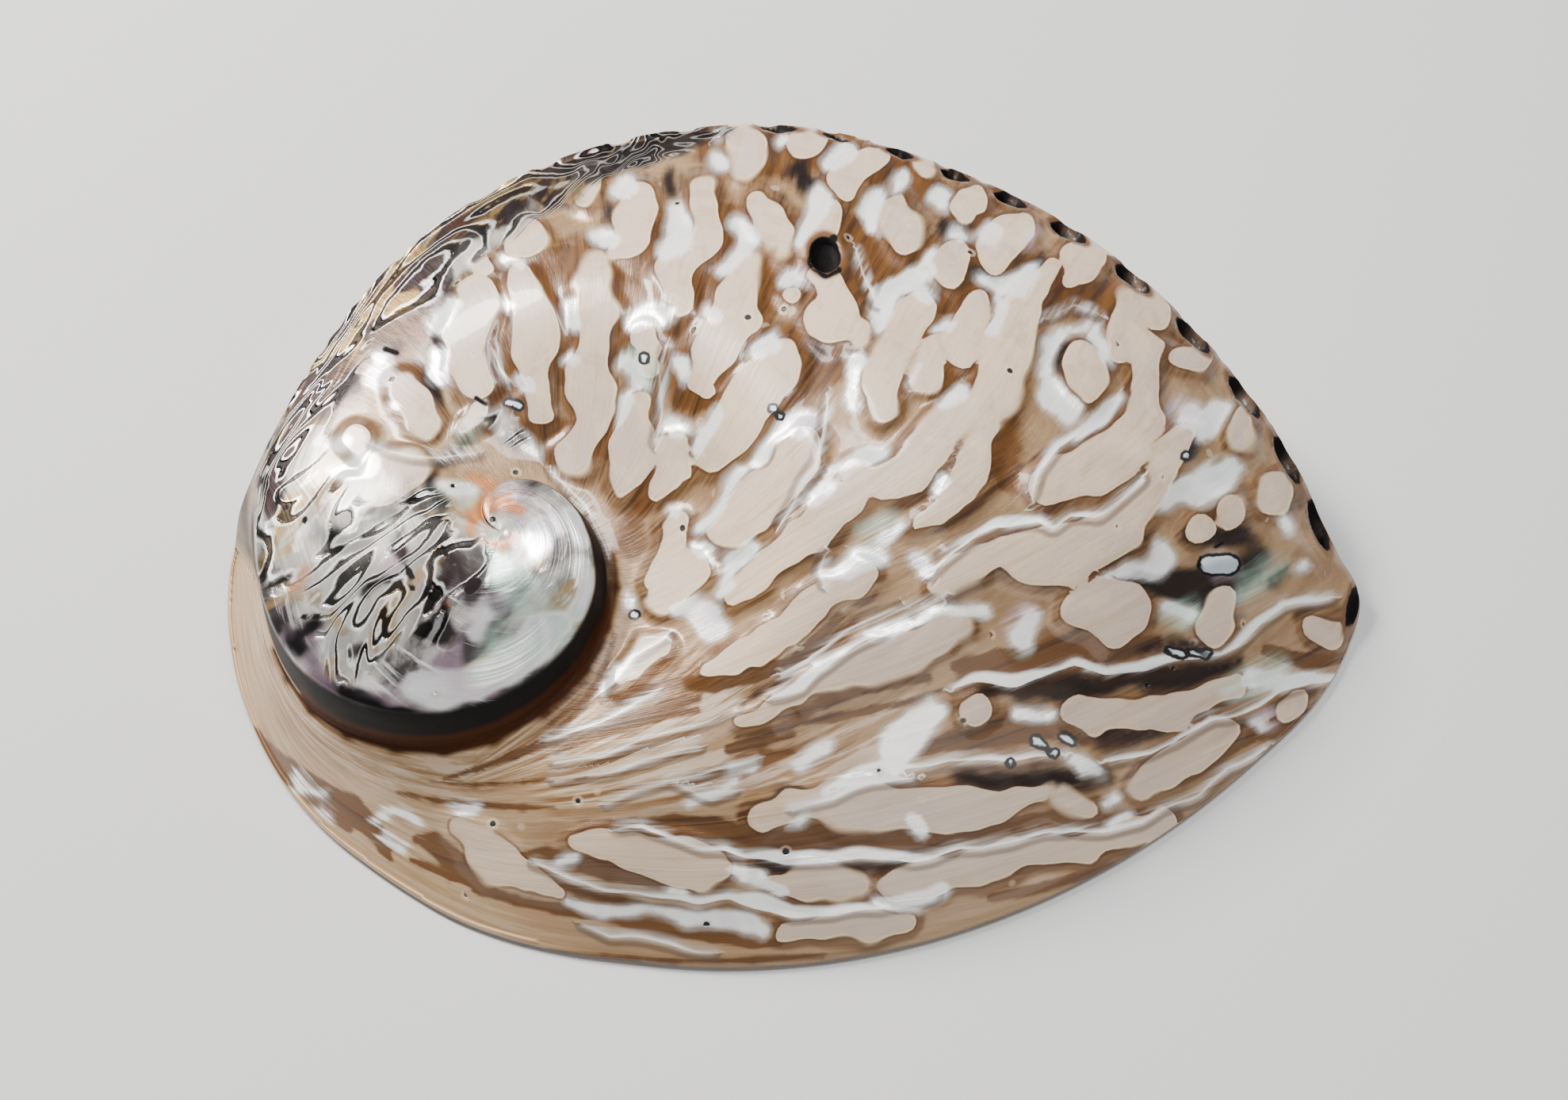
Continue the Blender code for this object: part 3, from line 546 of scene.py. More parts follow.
# Brown streaks of the near side and of the spire's foot
STREAKS = (
    ((760, 1040, 2), (800, 1038, 7), (850, 1036, 11), (900, 1042, 12), (960, 1058, 12),
     (1010, 1052, 10),
     (1050, 1050, 11), (1100, 1058, 12), (1150, 1062, 12), (1200, 1055, 11), (1260, 1045, 9),
     (1300, 1034, 10),
     (1340, 1030, 10), (1390, 1030, 7)),
    ((658, 1080, 6), (690, 1078, 12), (720, 1086, 13), (770, 1100, 11), (820, 1112, 8),
     (870, 1119, 5),
     (920, 1112, 3)),
    ((708, 1116, 3), (740, 1130, 8), (780, 1138, 9), (820, 1142, 4)),
    ((600, 1120, 7), (650, 1135, 7), (700, 1145, 7), (760, 1155, 9), (830, 1168, 11),
     (900, 1178, 12),
     (950, 1188, 8), (985, 1190, 3)),
    ((690, 1198, 3), (760, 1208, 4), (850, 1213, 4), (950, 1211, 4), (1040, 1206, 4)),
    ((965, 1122, 5), (1000, 1134, 10), (1050, 1132, 9), (1100, 1135, 8)),
    ((370, 980, 6), (400, 1010, 8), (440, 1045, 6)),
    ((520, 1085, 5), (570, 1105, 7), (620, 1115, 5)),
    ((900, 1120, 4), (960, 1140, 6), (1050, 1130, 8), (1100, 1135, 8), (1160, 1120, 7),
     (1220, 1108, 6),
     (1290, 1096, 6), (1350, 1085, 5), (1420, 1068, 5)),
    ((1200, 930, 9), (1160, 945, 9), (1250, 932, 9), (1300, 928, 9), (1350, 918, 9),
     (1400, 930, 5)),
    ((1205, 840, 8), (1260, 830, 11), (1320, 825, 12), (1380, 820, 13), (1440, 812, 11)),
    ((850, 862, 8), (900, 862, 12), (950, 850, 12), (1000, 835, 9), (1030, 805, 7), (1060, 775, 6)),
    ((1000, 905, 7), (1040, 885, 9), (1080, 868, 9), (1130, 860, 9), (1170, 855, 7)),
    ((800, 905, 7), (760, 925, 6), (840, 890, 8), (880, 880, 6)),
    ((760, 885, 6), (800, 875, 7), (840, 862, 6)),
    ((1590, 905, 6), (1640, 915, 6), (1560, 940, 7)),
    ((1600, 820, 10), (1650, 835, 10), (1690, 830, 8)),
    ((960, 935, 6), (920, 945, 6), (1000, 925, 6)), ((960, 950, 4), (1000, 948, 4)),
    ((318, 920, 5), (332, 945, 11), (360, 970, 14), (400, 1000, 17), (440, 1020, 18),
     (470, 1045, 13),
     (485, 1070, 8), (492, 1085, 4)),
    ((525, 1058, 6), (545, 1062, 13), (570, 1085, 14), (592, 1108, 9), (610, 1122, 7)),
    ((560, 982, 2), (600, 970, 3), (650, 952, 5), (700, 935, 6), (760, 905, 6), (820, 870, 5)),
    ((500, 998, 3), (550, 1010, 4), (600, 1015, 5), (660, 1018, 4), (700, 1018, 2)),
    ((540, 986, 1), (600, 990, 2), (660, 986, 2), (740, 980, 2)),
    ((640, 955, 2), (700, 925, 5), (735, 890, 5), (760, 850, 5), (775, 800, 4)),
    ((700, 950, 3), (760, 925, 4), (830, 905, 5), (880, 895, 4)),
    ((1190, 870, 4), (1150, 885, 6), (1100, 895, 7), (1050, 905, 7), (990, 915, 6), (930, 930, 5)),
    ((1250, 1132, 5), (1320, 1118, 6), (1400, 1095, 6), (1460, 1070, 5), (1520, 1040, 4)),
    ((1490, 985, 8), (1530, 960, 8), (1570, 930, 7), (1610, 905, 5)),
)
# Broad golden brown ground: large circles
BROWNS = (
    ((520, 450, 55), (600, 400, 75), (700, 400, 90), (800, 370, 80), (900, 340, 80),
     (1000, 320, 55),
     (1100, 330, 50), (1200, 350, 45), (1300, 350, 35), (1390, 380, 28), (1470, 440, 20)),
    ((640, 520, 40), (700, 560, 30), (760, 560, 30)),
    ((880, 470, 50), (960, 470, 55), (1050, 440, 45)),
    ((1120, 440, 40), (1190, 470, 45), (1250, 540, 30), (1270, 590, 22)),
    ((720, 900, 32), (820, 870, 40), (920, 850, 36), (1010, 830, 26), (1060, 790, 16)),
    ((860, 1060, 26), (980, 1080, 30), (1100, 1085, 26), (1220, 1070, 22), (1340, 1050, 18),
     (1440, 1030, 12)),
    ((900, 180, 30), (980, 190, 30), (1060, 190, 26), (1160, 240, 26), (1250, 270, 26)),
    ((1230, 850, 16), (1340, 830, 22), (1450, 810, 18)),
    ((1210, 930, 14), (1320, 910, 18), (1420, 930, 16)),
    ((790, 690, 14), (810, 640, 14), (830, 590, 12)),
    ((900, 700, 14), (960, 670, 12), (1020, 620, 12)),
)
# Ground of fine converging streaks
FANS = (
    ((520, 985, 10), (600, 975, 26), (700, 945, 42), (800, 900, 58), (900, 865, 58),
     (990, 830, 42), (1060, 790, 24)),
    ((700, 1000, 24), (800, 985, 34), (900, 975, 36), (1000, 960, 34), (1090, 935, 32),
     (1150, 900, 24)),
    ((330, 800, 10), (380, 900, 20), (460, 960, 24), (560, 990, 18)),
)
# Dark brown line below the spire's wall
SEAM_LINE = (
    ((345, 820, 3), (365, 855, 5), (395, 893, 7), (440, 922, 9), (500, 938, 10), (560, 940, 11),
     (620, 926, 11),
     (680, 893, 10), (730, 845, 9), (762, 790, 7), (775, 740, 5), (772, 700, 3)),
)
# Worn lumps, outlined black, with a blue-white that is partly a painted glint
LUMP_GLINTS = (
    ((1524, 712, 9), (1552, 712, 10)), ((1308, 934, 4), (1316, 940, 3)),
    ((1342, 928, 4), (1352, 934, 4)),
    ((1330, 950, 4),), ((1472, 819, 3), (1490, 825, 3)), ((1506, 822, 2), (1522, 825, 3)),
    ((1275, 962, 2),),
    ((1498, 575, 4),), ((800, 775, 4),), ((812, 452, 3),), ((640, 508, 3), (655, 512, 3)),
    ((975, 515, 3),), ((985, 525, 3),),
)
# Orange brown patches of the spire
COPPERS = (
    ((480, 365, 8), (495, 362, 7)), ((665, 228, 6), (685, 232, 7)), ((705, 250, 5), (715, 245, 5)),
    ((555, 275, 7), (575, 280, 8)), ((725, 198, 6), (745, 195, 5)),
    ((597, 672, 4), (600, 650, 6), (615, 633, 8), (640, 630, 7), (660, 644, 5)),
    ((608, 682, 4), (628, 690, 5), (645, 682, 4)), ((590, 600, 4), (620, 612, 3)),
    ((410, 640, 5), (395, 645, 5)), ((540, 770, 6), (560, 760, 5)), ((360, 740, 9), (385, 720, 9)),
)
# Where the nacre plays pink
PINKS = (
    ((1490, 520, 20), (1505, 535, 16)), ((1290, 790, 18),), ((690, 665, 25),), ((1300, 300, 12),),
    ((480, 470, 20),), ((600, 752, 10), (625, 765, 14)), ((440, 770, 14),), ((345, 665, 14),),
    ((1010, 350, 14),), ((1250, 300, 10),), ((1590, 905, 14),), ((1540, 715, 16),),
     ((1020, 540, 14),),
)
# Where the nacre plays green
GREENS = (
    ((1580, 735, 16), (1600, 715, 16), (1572, 755, 12)),
    ((1490, 775, 20),), ((1600, 845, 20), (1560, 870, 16)),
    ((450, 590, 18),), ((410, 735, 14),), ((535, 305, 10),), ((555, 325, 8), (590, 330, 8)),
    ((500, 660, 20), (540, 640, 16)), ((590, 625, 14),),
    ((820, 480, 16), (805, 455, 12)), ((1100, 665, 12), (1120, 655, 10)), ((620, 710, 10),),
    ((1285, 810, 10),), ((620, 840, 25),), ((1530, 600, 14),), ((400, 830, 12),), ((590, 545, 14),),
)
# Worn layers in black contour lines, on the spire and behind it
BUSY = (
    ((470, 385, 30), (500, 360, 34), (540, 330, 30), (580, 295, 30), (630, 262, 30),
     (690, 235, 28), (740, 215, 22)),
    ((430, 420, 34), (400, 480, 26), (370, 560, 30), (350, 640, 32), (345, 720, 24)),
    ((520, 345, 34), (470, 385, 28)),
    ((620, 245, 30), (700, 215, 30), (780, 185, 24), (850, 175, 16), (890, 170, 9), (925, 167, 3)),
    ((560, 290, 28),), ((400, 640, 26), (450, 680, 36), (420, 740, 36), (480, 760, 40),
     (440, 820, 34)),
    ((530, 650, 28), (540, 700, 34), (520, 760, 32), (560, 800, 20)),
    ((630, 530, 10), (650, 550, 12)),
    ((580, 690, 20), (600, 740, 20)),
)
# Fine drawn lines of painted highlight along ridge crests: x, y and half width
CREST_HIGHLIGHTS = (
    ((780, 1044, 2), (810, 1043, 4), (850, 1058, 3), (890, 1068, 3), (915, 1070, 4), (940, 1080, 5),
     (990, 1083, 6), (1050, 1082, 5), (1100, 1080, 5), (1150, 1083, 5), (1180, 1080, 4),
     (1210, 1070, 4),
     (1240, 1070, 3), (1290, 1055, 3), (1320, 1048, 3), (1370, 1050, 3), (1400, 1045, 4),
     (1440, 1035, 3),
     (1470, 1020, 2), (1500, 1010, 3), (1515, 1002, 3), (1530, 985, 3), (1550, 966, 4),
     (1580, 955, 4),
     (1600, 943, 2)),
    ((675, 1090, 1), (720, 1108, 4), (760, 1120, 5), (820, 1130, 6), (880, 1135, 7), (920, 1130, 6),
     (960, 1143, 8), (1000, 1152, 5), (1050, 1150, 4), (1110, 1145, 3), (1180, 1130, 2)),
    ((735, 1165, 1), (770, 1178, 3), (820, 1185, 3), (860, 1195, 3), (900, 1200, 1)),
    ((1205, 868, 3), (1230, 857, 6), (1280, 860, 8), (1320, 849, 6), (1355, 838, 6), (1395, 847, 5),
     (1440, 840, 5), (1480, 832, 6), (1540, 825, 2), (1560, 812, 4), (1590, 785, 6), (1620, 762, 7),
     (1660, 755, 5), (1680, 752, 3)),
    ((1050, 990, 3), (1090, 977, 6), (1130, 967, 7), (1200, 960, 5), (1260, 957, 5), (1310, 952, 6),
     (1340, 952, 4)),
    ((1400, 958, 3), (1430, 952, 4), (1455, 948, 3), (1480, 938, 3), (1505, 920, 3), (1530, 905, 4),
     (1560, 900, 3), (1590, 890, 4), (1615, 872, 5), (1650, 860, 7), (1690, 850, 5)),
    ((975, 880, 2), (1010, 865, 5), (1030, 845, 5), (1050, 832, 4), (1085, 812, 3), (1115, 795, 4)),
    ((1175, 722, 2), (1200, 700, 4), (1225, 680, 3), (1255, 662, 5), (1285, 656, 5), (1310, 656, 5),
     (1330, 666, 4), (1350, 652, 4), (1385, 650, 5), (1400, 640, 3), (1440, 605, 3)),
    ((1303, 622, 2), (1310, 595, 3), (1335, 562, 4), (1365, 546, 5), (1395, 524, 5),
     (1410, 500, 3)),
    ((1000, 1018, 1), (1050, 1005, 3), (1100, 985, 5), (1150, 980, 2)),
    ((760, 868, 2), (780, 850, 3), (800, 828, 2), (840, 803, 2)),
    ((1145, 765, 2), (1190, 752, 2), (1105, 778, 2), (1060, 800, 2), (1020, 830, 2), (985, 850, 2)),
    ((840, 440, 1.5), (832, 470, 1.5), (835, 520, 2), (828, 560, 1.5)),
    ((640, 738, 1), (652, 720, 1.5), (680, 712, 2), (703, 728, 2), (708, 755, 2), (692, 777, 1.5),
     (668, 782, 1)),
    ((653, 748, 1), (668, 735, 1.5), (686, 744, 1.5), (684, 762, 1)),
    ((720, 640, 1), (742, 680, 2), (748, 720, 1)),
    ((470, 560, 1), (520, 575, 2), (560, 580, 2), (600, 570, 1)),
    ((700, 600, 1), (740, 640, 2), (765, 690, 1)),
    ((1045, 500, 1.5), (1040, 540, 2), (1032, 580, 2), (1012, 608, 2), (998, 640, 2),
     (985, 660, 1.5)),
    ((620, 440, 1.5), (630, 465, 2), (642, 478, 1.5)),
    ((1040, 700, 1), (1034, 720, 2), (1040, 735, 1)),
    ((1080, 320, 2), (1090, 350, 3), (1100, 370, 4), (1106, 382, 3)),
    ((1325, 400, 1), (1355, 386, 3), (1385, 395, 2)),
    ((765, 1010, 1), (830, 990, 1.5), (900, 970, 2), (950, 958, 1)),
    ((840, 985, 1), (900, 1005, 2), (925, 998, 1)),
    ((700, 962, 1), (760, 950, 1.5), (840, 925, 2), (900, 905, 2), (930, 890, 1)),
    ((690, 935, 1), (740, 915, 2), (800, 890, 1.5), (830, 870, 1)),
    ((700, 985, 1), (780, 970, 1.5), (880, 940, 2)),
)
# Closed pores at both ends of the row of open ones: direction, length, width and inset
CLOSED_PORES = ((2.3, 5.4, 2.4, 1.2), (56.7, 3.4, 1.9, 1.4), (62.4, 4.6, 2.0, 1.2))

# The photo's camera: tilt above the ground, distance to the place it aims at, and lens
PHOTO = (1978, 1387)
TILT = math.radians(60)
DISTANCE = 310.0
AIM = np.array((0.0, 0.0, 12.0))
AIM_PIXEL = (1003.0, 700.0)
LENS, SENSOR = 50.0, 36.0
PIXEL_MM = DISTANCE * SENSOR / (LENS * PHOTO[0])  # width of a photo pixel on the shell
EYE = AIM + DISTANCE * np.array((0.0, -math.cos(TILT), math.sin(TILT)))

ROW_SPLIT = 4  # rows of the last turn for each row of the spire
FAR = 1e3
PAD_GROWTH = 0.42  # millimetres by which the pads reach past their drawn circles
FAN_POINT = (520, 1005)  # photo place below the spire from which the strands spread
SEAM = 5e-8  # metres within which the sheets' edges are one
SLIVER = 3e-6  # metres: shorter edges left by the cuts are merged away
BLEND = 6.0  # photo pixels over which neighbouring circles of a chain run together
SEEN = (0.02, 0.2)  # how squarely a surface faces the camera where drawn marks start and hold
BACK_SPAN = (-190, -120, 145, 160)  # directions over which grown pads start and end
GROWN_LIMIT, DRAWN_LIMIT = 2.5, 6  # most millimetres inside or outside a grown and a drawn pad
MARK_LIMIT, SIDE_LIMIT = 8, 9  # the same for the other marks, and from a drawn line or the lip
COUNT_END = 159  # direction up to which growth lines are counted
SPIRE_COUNT = 14  # degrees for each pad of the spire
EDGE_FADE = (0.5, 6)  # millimetres in from the foot over which valleys reach their depth
SUTURE_FADE = (0.2, 4)  # the same out from the suture
RIM_PLACE, RIM_WIDTH = 0.9, 0.6  # millimetres from a pore out to its rim, and the rim's width
DENT_DEPTH = 0.9  # of the closed pores
DENT_SIDE = (-0.2, 0.8)  # millimetres inside a closed pore over which it deepens
INSIDE_GAP = (1.0, 1.35)  # millimetres below the outer surface over which the inside begins
UNDERSIDE = -0.35  # how far a normal points up, at most, where a face counts as inside
LINE_NEAR = 2.6  # millimetres from a drawn line over which its marks fade
# Finds where the painted rim highlight lies on a pad's near side
NEAR_SIDE_SHIFT = (7, 6)  # photo pixels right and down to what lies on a pad's near side
FAN_PIXELS = (560, 650)  # photo columns over which the strands begin
FAN_BEND, FAN_STEP = 1500, 100  # photo pixels for a radian of bend and a step along a strand
FLANGE_SPAN = (45, 120)  # degrees before zero over which the near flange's look begins

# The studio: the sky's colour and strength, and the lights in metres and watts, each with its
# name, place, width and height, power and colour
SKY, SKY_STRENGTH = (0.85, 0.92, 1, 1), 0.28
FLOOR_ROUGHNESS = 0.9
LIGHTS = (
    ("window", (-0.45, 0.35, 0.55), (0.2, 0.26), 15.5, (1.0, 0.98, 0.95)),
    ("overhead", (0.1, 0.15, 0.9), (0.35, 0.2), 8.5, (0.97, 0.98, 1.0)),
    ("near_fill", (0.35, -0.6, 0.35), (0.5, 0.4), 1.8, (1.0, 0.96, 0.9)),
)


def eye_axes():
    """The camera's forward, right and up directions."""
    forward = np.array((0.0, math.cos(TILT), -math.sin(TILT)))
    return forward, np.array((1.0, 0.0, 0.0)), np.array((0.0, math.sin(TILT), math.cos(TILT)))


def photo_place(points):
    """Photo pixels of points in millimetres: offsets from the eye over their depth, times the
    lens."""
    forward, right, up = eye_axes()
    away = points - EYE
    scale = LENS / SENSOR * PHOTO[0] / (away @ forward)
    return AIM_PIXEL[0] + (away @ right) * scale, AIM_PIXEL[1] - (away @ up) * scale


def rod_distance(x, y, start, end):
    """Share of the way along a rod of two circles at the nearest place to each point, and the
    distance to it less the radius there."""
    (ax, ay, a), (bx, by, b) = start, end
    dx, dy = bx - ax, by - ay
    share = np.clip(((x - ax) * dx + (y - ay) * dy) / max(dx * dx + dy * dy, TINY), 0, 1)
    away = np.hypot(x - ax - share * dx, y - ay - share * dy)
    return share, away, away - a - share * (b - a)


def depth_inside(x, y, chains):
    """Millimetres inside the nearest chain of circles, and negative outside: the least
    distance to the tapered rods that join its circles, rounded where two are as near."""
    found = np.full_like(x, FAR)
    for chain in chains:
        for start, end in zip(chain, chain[1:] or chain):
            rod = rod_distance(x, y, start, end)[2]
            share = np.clip(0.5 + (found - rod) / (2 * BLEND), 0, 1)
            found = found + (rod - found) * share - BLEND * share * (1 - share)
    return -found * PIXEL_MM


def unsettled(x, y):
    """Photo pixels moved by a few, so that the drawn circles' edges turn lobed: each way by a
    broad sine wave, bent by another, and by a fine one that runs aslant."""
    right = 4.6 * np.sin(y / 17 + 1.6 * np.sin(x / 31)) + 1.4 * np.sin(y / 7.3 + x / 11)
    up = 4.2 * np.sin(x / 21 + 1.8 * np.sin(y / 27) + 2) + 1.4 * np.sin(x / 9.1 - y / 13)
    return x + right, y + up


def drawn_lines(x, y, lines):
    """For the nearest drawn line: the distance to its left side, its half width, and the
    plain distance to it, all in millimetres."""
    side, width, nearest = (np.full_like(x, FAR) for _ in range(3))
    for line in lines:
        for start, end in zip(line, line[1:]):
            share, away, _ = rod_distance(x, y, start, end)
            cross = (end[0] - start[0]) * (y - start[1]) - (end[1] - start[1]) * (x - start[0])
            closer = away < nearest
            nearest = np.where(closer, away, nearest)
            side = np.where(closer, away * np.sign(cross), side)
            width = np.where(closer, start[2] + share * (end[2] - start[2]), width)
    return side * PIXEL_MM, width * PIXEL_MM, nearest * PIXEL_MM


def ripple(along_way, across_way):
    """A smooth uneven field, mostly between -1 and 1: sine waves multiplied in pairs."""
    first = np.sin(1.9 * along_way + 0.8 * np.sin(2.3 * across_way)) * np.cos(1.1 * across_way)
    second = np.sin(3.7 * along_way + 1.6) * np.sin(2.9 * across_way + 0.7 * np.sin(along_way))
    return first + 0.6 * second


def place_of(points):
    """Direction on the coil and reach of points in millimetres, counting the spire's turn."""
    x, y = points[:, 0] - APEX[0], points[:, 1] - APEX[1]
    reach = np.hypot(x, y)
    direction = (np.degrees(np.arctan2(y, x)) - COIL_OUT) % FULL_TURN + COIL_OUT
    on_spire = reach < suture(direction)[0] - 0.02
    return np.where(on_spire, direction + FULL_TURN, direction), reach


def counted(direction, reach):
    """Shares of the way across a whole turn and down its wall, the growth line there and the
    number of bands up to it."""
    far = foot(direction)[0]
    across = share_between(reach, suture(direction)[0], far)
    down = share_between(reach, keel(direction)[0], far)
    label = growth(np.minimum(direction, COUNT_END), across)
    return across, down, label, np.interp(label, BANDS[:, 0], BANDS[:, 1])


def grown_pads(direction, reach):
    """Millimetres inside the pads where the photo doesn't show them: waves counted along the
    growth lines, broken up by an uneven field."""
    across, down, _, count = counted(direction, reach)
    count = np.where(direction > COIL_OUT + FULL_TURN, direction / SPIRE_COUNT, count)
    along = across * 23 + down * 5
    wave = np.cos(2 * math.pi * count + 1.4 * np.sin(along * 0.8 + count))
    return 1.3 * (0.8 * wave + 1.3 * ripple(count * 2.3 + down, along) - 0.1)


def pad_depth(points, facing):
    """Millimetres inside the pads: as drawn where the camera sees the shell, as grown elsewhere."""
    direction, reach = place_of(points)
    drawn = depth_inside(*unsettled(*photo_place(points)), PADS) + PAD_GROWTH
    seen = eased(facing, *SEEN)
    on_back = eased(direction, *BACK_SPAN[:2]) * (1 - eased(direction, *BACK_SPAN[2:]))
    grown = np.clip(grown_pads(direction, reach), -GROWN_LIMIT, GROWN_LIMIT)
    unseen = grown * on_back - GROWN_LIMIT * (1 - on_back)
    return np.clip(drawn, -DRAWN_LIMIT, DRAWN_LIMIT) * seen + unseen * (1 - seen)


def facing_eye(points, normals):
    """How squarely a surface faces the photo's camera: 1 squarely, 0 edge on, less turned away."""
    towards = EYE - points
    return np.einsum("ij,ij->i", normals, towards) / np.linalg.norm(towards, axis=1)


def pore_place(direction, inset):
    """A pore's middle on the keel, and the angle that the keel runs at there in the plan."""
    near = np.array([direction - 1, direction, direction + 1])
    reach, height = keel(near)
    x, y = plan(near, reach - inset)
    return (x[1], y[1], height[1]), math.atan2(y[2] - y[0], x[2] - x[0])


def pore_depth(points, pores):
    """Millimetres inside the nearest of the pores and the worn pit, in the plan: half the
    oval's width times one less the oval distance to its middle."""
    found = np.full(len(points), -FAR)
    for direction, length, width, inset in pores:
        (x, y, height), turn = pore_place(direction, inset)
        right, up = points[:, 0] - x, points[:, 1] - y
        run = right * math.cos(turn) + up * math.sin(turn)
        over = up * math.cos(turn) - right * math.sin(turn)
        lean = (points[:, 2] - height) * math.tan(math.radians(HOLE_LEAN))
        oval = np.hypot(run / (length / 2), (over + lean) / (width / 2))
        found = np.maximum(found, width / 2 * (1 - oval))
    x, y = plan(*PIT)
    oval = np.hypot((points[:, 0] - x) / (PIT_SIZE[1] / 2), (points[:, 1] - y) / (PIT_SIZE[0] / 2))
    return np.maximum(found, PIT_SIZE[1] / 2 * (1 - oval))


def sunk(direction, reach, height):
    """Depth that the worn surface lies below the full one: valleys between the pads, shallower
    at the pores' rims and fading out at the foot and the suture, and dents in the closed pores
    and the pit."""
    sizes = bpy.context.scene.abalone_sizes
    shape = direction.shape
    points = np.stack([*plan(direction, reach), height], axis=-1).reshape(-1, 3)
    normals = grid_normals(points.reshape(*shape, 3)).reshape(-1, 3)
    facing = facing_eye(points, normals)
    depth = pad_depth(points, facing).reshape(shape)
    edge = foot(direction)[0]
    fade = eased(edge - reach, *EDGE_FADE) * eased(reach - suture(direction)[0], *SUTURE_FADE)
    valley = sizes.valley_depth / MM * (1 - eased(depth, -sizes.valley_side / MM, 0.1))
    pores = pore_depth(points, HOLES + CLOSED_PORES).reshape(shape)
    rims = sizes.pore_rim / MM * np.exp(-((pores + RIM_PLACE) / RIM_WIDTH) ** 2)
    closed = pore_depth(points, CLOSED_PORES).reshape(shape)
    dents = DENT_DEPTH * eased(closed, *DENT_SIDE)
    return (valley * fade - np.minimum(rims, valley * fade)) + dents


def grid_normals(points):
    """Normals of a grid of points, up side out: the cross product of its two steps."""
    one, other = np.gradient(points, axis=0), np.gradient(points, axis=1)
    normals = np.cross(other, one)
    length = np.linalg.norm(normals, axis=-1, keepdims=True)
    normals = normals / np.maximum(length, 1e-9)
    return normals * np.sign(normals[..., 2:] + 1e-9)


def turn_rows(way, back_rows, wall_rows):
    """One turn of the outer surface: reaches from the suture over the keel to the foot, in two
    runs of even steps, with the height worked out at each."""
    near, far, edge = suture(way)[0], keel(way)[0], foot(way)[0]
    crest_highlight = near + (edge - near) * FLANGE_ROWS
    crest_highlight = crest_highlight + (far - crest_highlight) * eased(way, *FLANGE_ENDS)
    crest_highlight = np.where(way >= COIL_OUT + FULL_TURN, far, crest_highlight)
    parts = [spread(near, crest_highlight, back_rows), spread(crest_highlight, edge, wall_rows), edge[:, None]]
    reach = np.concatenate(parts, axis=1)
    angle = np.repeat(way[:, None], reach.shape[1], axis=1)
    height = turn_height(angle, reach)
    height[:, 0], height[:, -1] = suture(way)[1], foot(way)[1]
    height = height - sunk(angle, reach, height)
    return np.stack([*plan(angle, reach), height], axis=-1)


def inner_rows(way, rows):
    """The inside, from the middle to the lip: even steps to the vault's edge, then rows along
    the inner lip, the rim's flat and its rounding."""
    lip = margin(way)
    shelf = lip - shelf_width(way)
    spring = shelf - VAULT_EDGE
    limit = SPIRE_LIMIT * spring
    spire = np.minimum(suture(way)[0], limit)
    spire = spire + (limit - spire) * eased(way, SPIRE_LET_GO, COIL_OUT + FULL_TURN)
    steps = [spread(np.zeros_like(lip), spire, 3), spread(spire, spring, rows)]
    edges = (spring, shelf - VAULT_EDGE / 2, shelf, lip - RIM_FLAT, lip - RIM_ROUND, lip)
    reach = np.concatenate(steps + [edge[:, None] for edge in edges], axis=1)
    angle = np.repeat(way[:, None], reach.shape[1], axis=1)
    return np.stack([*plan(angle, reach), inside(angle, reach)], axis=-1)


def grid_faces(rows, columns, start, turned):
    """Four-sided faces of a grid of numbered points, row by row."""
    first = start + np.arange((rows - 1) * columns).reshape(rows - 1, columns)[:, :-1].ravel()
    faces = np.stack([first, first + columns, first + columns + 1, first + 1], axis=1)
    return (faces[:, ::-1] if turned else faces).tolist()


def shell_sheets():
    """The three sheets of the shell and their faces. The spire's first column meets the end of
    the last turn, whose rows are finer, so its faces there have extra corners."""
    sizes = bpy.context.scene.abalone_sizes
    way = np.append(columns(sizes.columns), COIL_OUT + FULL_TURN)
    last = turn_rows(way, sizes.back_rows * ROW_SPLIT, sizes.wall_rows * ROW_SPLIT)
    spire = turn_rows(way + FULL_TURN, sizes.back_rows, sizes.wall_rows)
    inner = inner_rows(way, sizes.inner_rows)
    inner[-1], inner[:, 0] = inner[0], inner[0, 0]
    spire[0] = last[-1][::ROW_SPLIT]
    spire[-1] = spire[-1].mean(axis=0)
    spire[:, 0] = spire[-1, 0]
    last[:, 0] = spire[:, -1]
    faces, start, points = [], 0, []
    for sheet, turned in ((last, True), (spire, True), (inner, False)):
        points.append(sheet.reshape(-1, 3))
        faces.append(grid_faces(*sheet.shape[:2], start, turned))
        start += len(points[-1])
    seam = len(points[0]) - last.shape[1]
    begin = len(points[0])
    for row in range(spire.shape[1] - 1):
        fine = list(range(seam + ROW_SPLIT * row, seam + ROW_SPLIT * (row + 1) + 1))
        coarse = [begin + spire.shape[1] + row, begin + spire.shape[1] + row + 1]
        faces[1][row] = coarse[::-1] + fine
    return np.concatenate(points), faces[0] + faces[1] + faces[2]


def seal(mesh, near, slivers=False):
    """Merges vertices that lie near each other, all or only the ends of slivers' short edges,
    and splits the faces into triangles. A mesh that isn't closed then is an error."""
    work = bmesh.new()
    work.from_mesh(mesh)
    chosen = work.verts
    if slivers:
        short = [edge for edge in work.edges if edge.calc_length() < near]
        ends = sorted({vertex.index for edge in short for vertex in edge.verts})
        work.verts.ensure_lookup_table()
        chosen = [work.verts[end] for end in ends]
    bmesh.ops.remove_doubles(work, verts=chosen, dist=near)
    bmesh.ops.triangulate(work, faces=work.faces)
    if not all(edge.is_manifold for edge in work.edges):
        raise RuntimeError("the shell isn't closed")
    work.to_mesh(mesh)
    work.free()


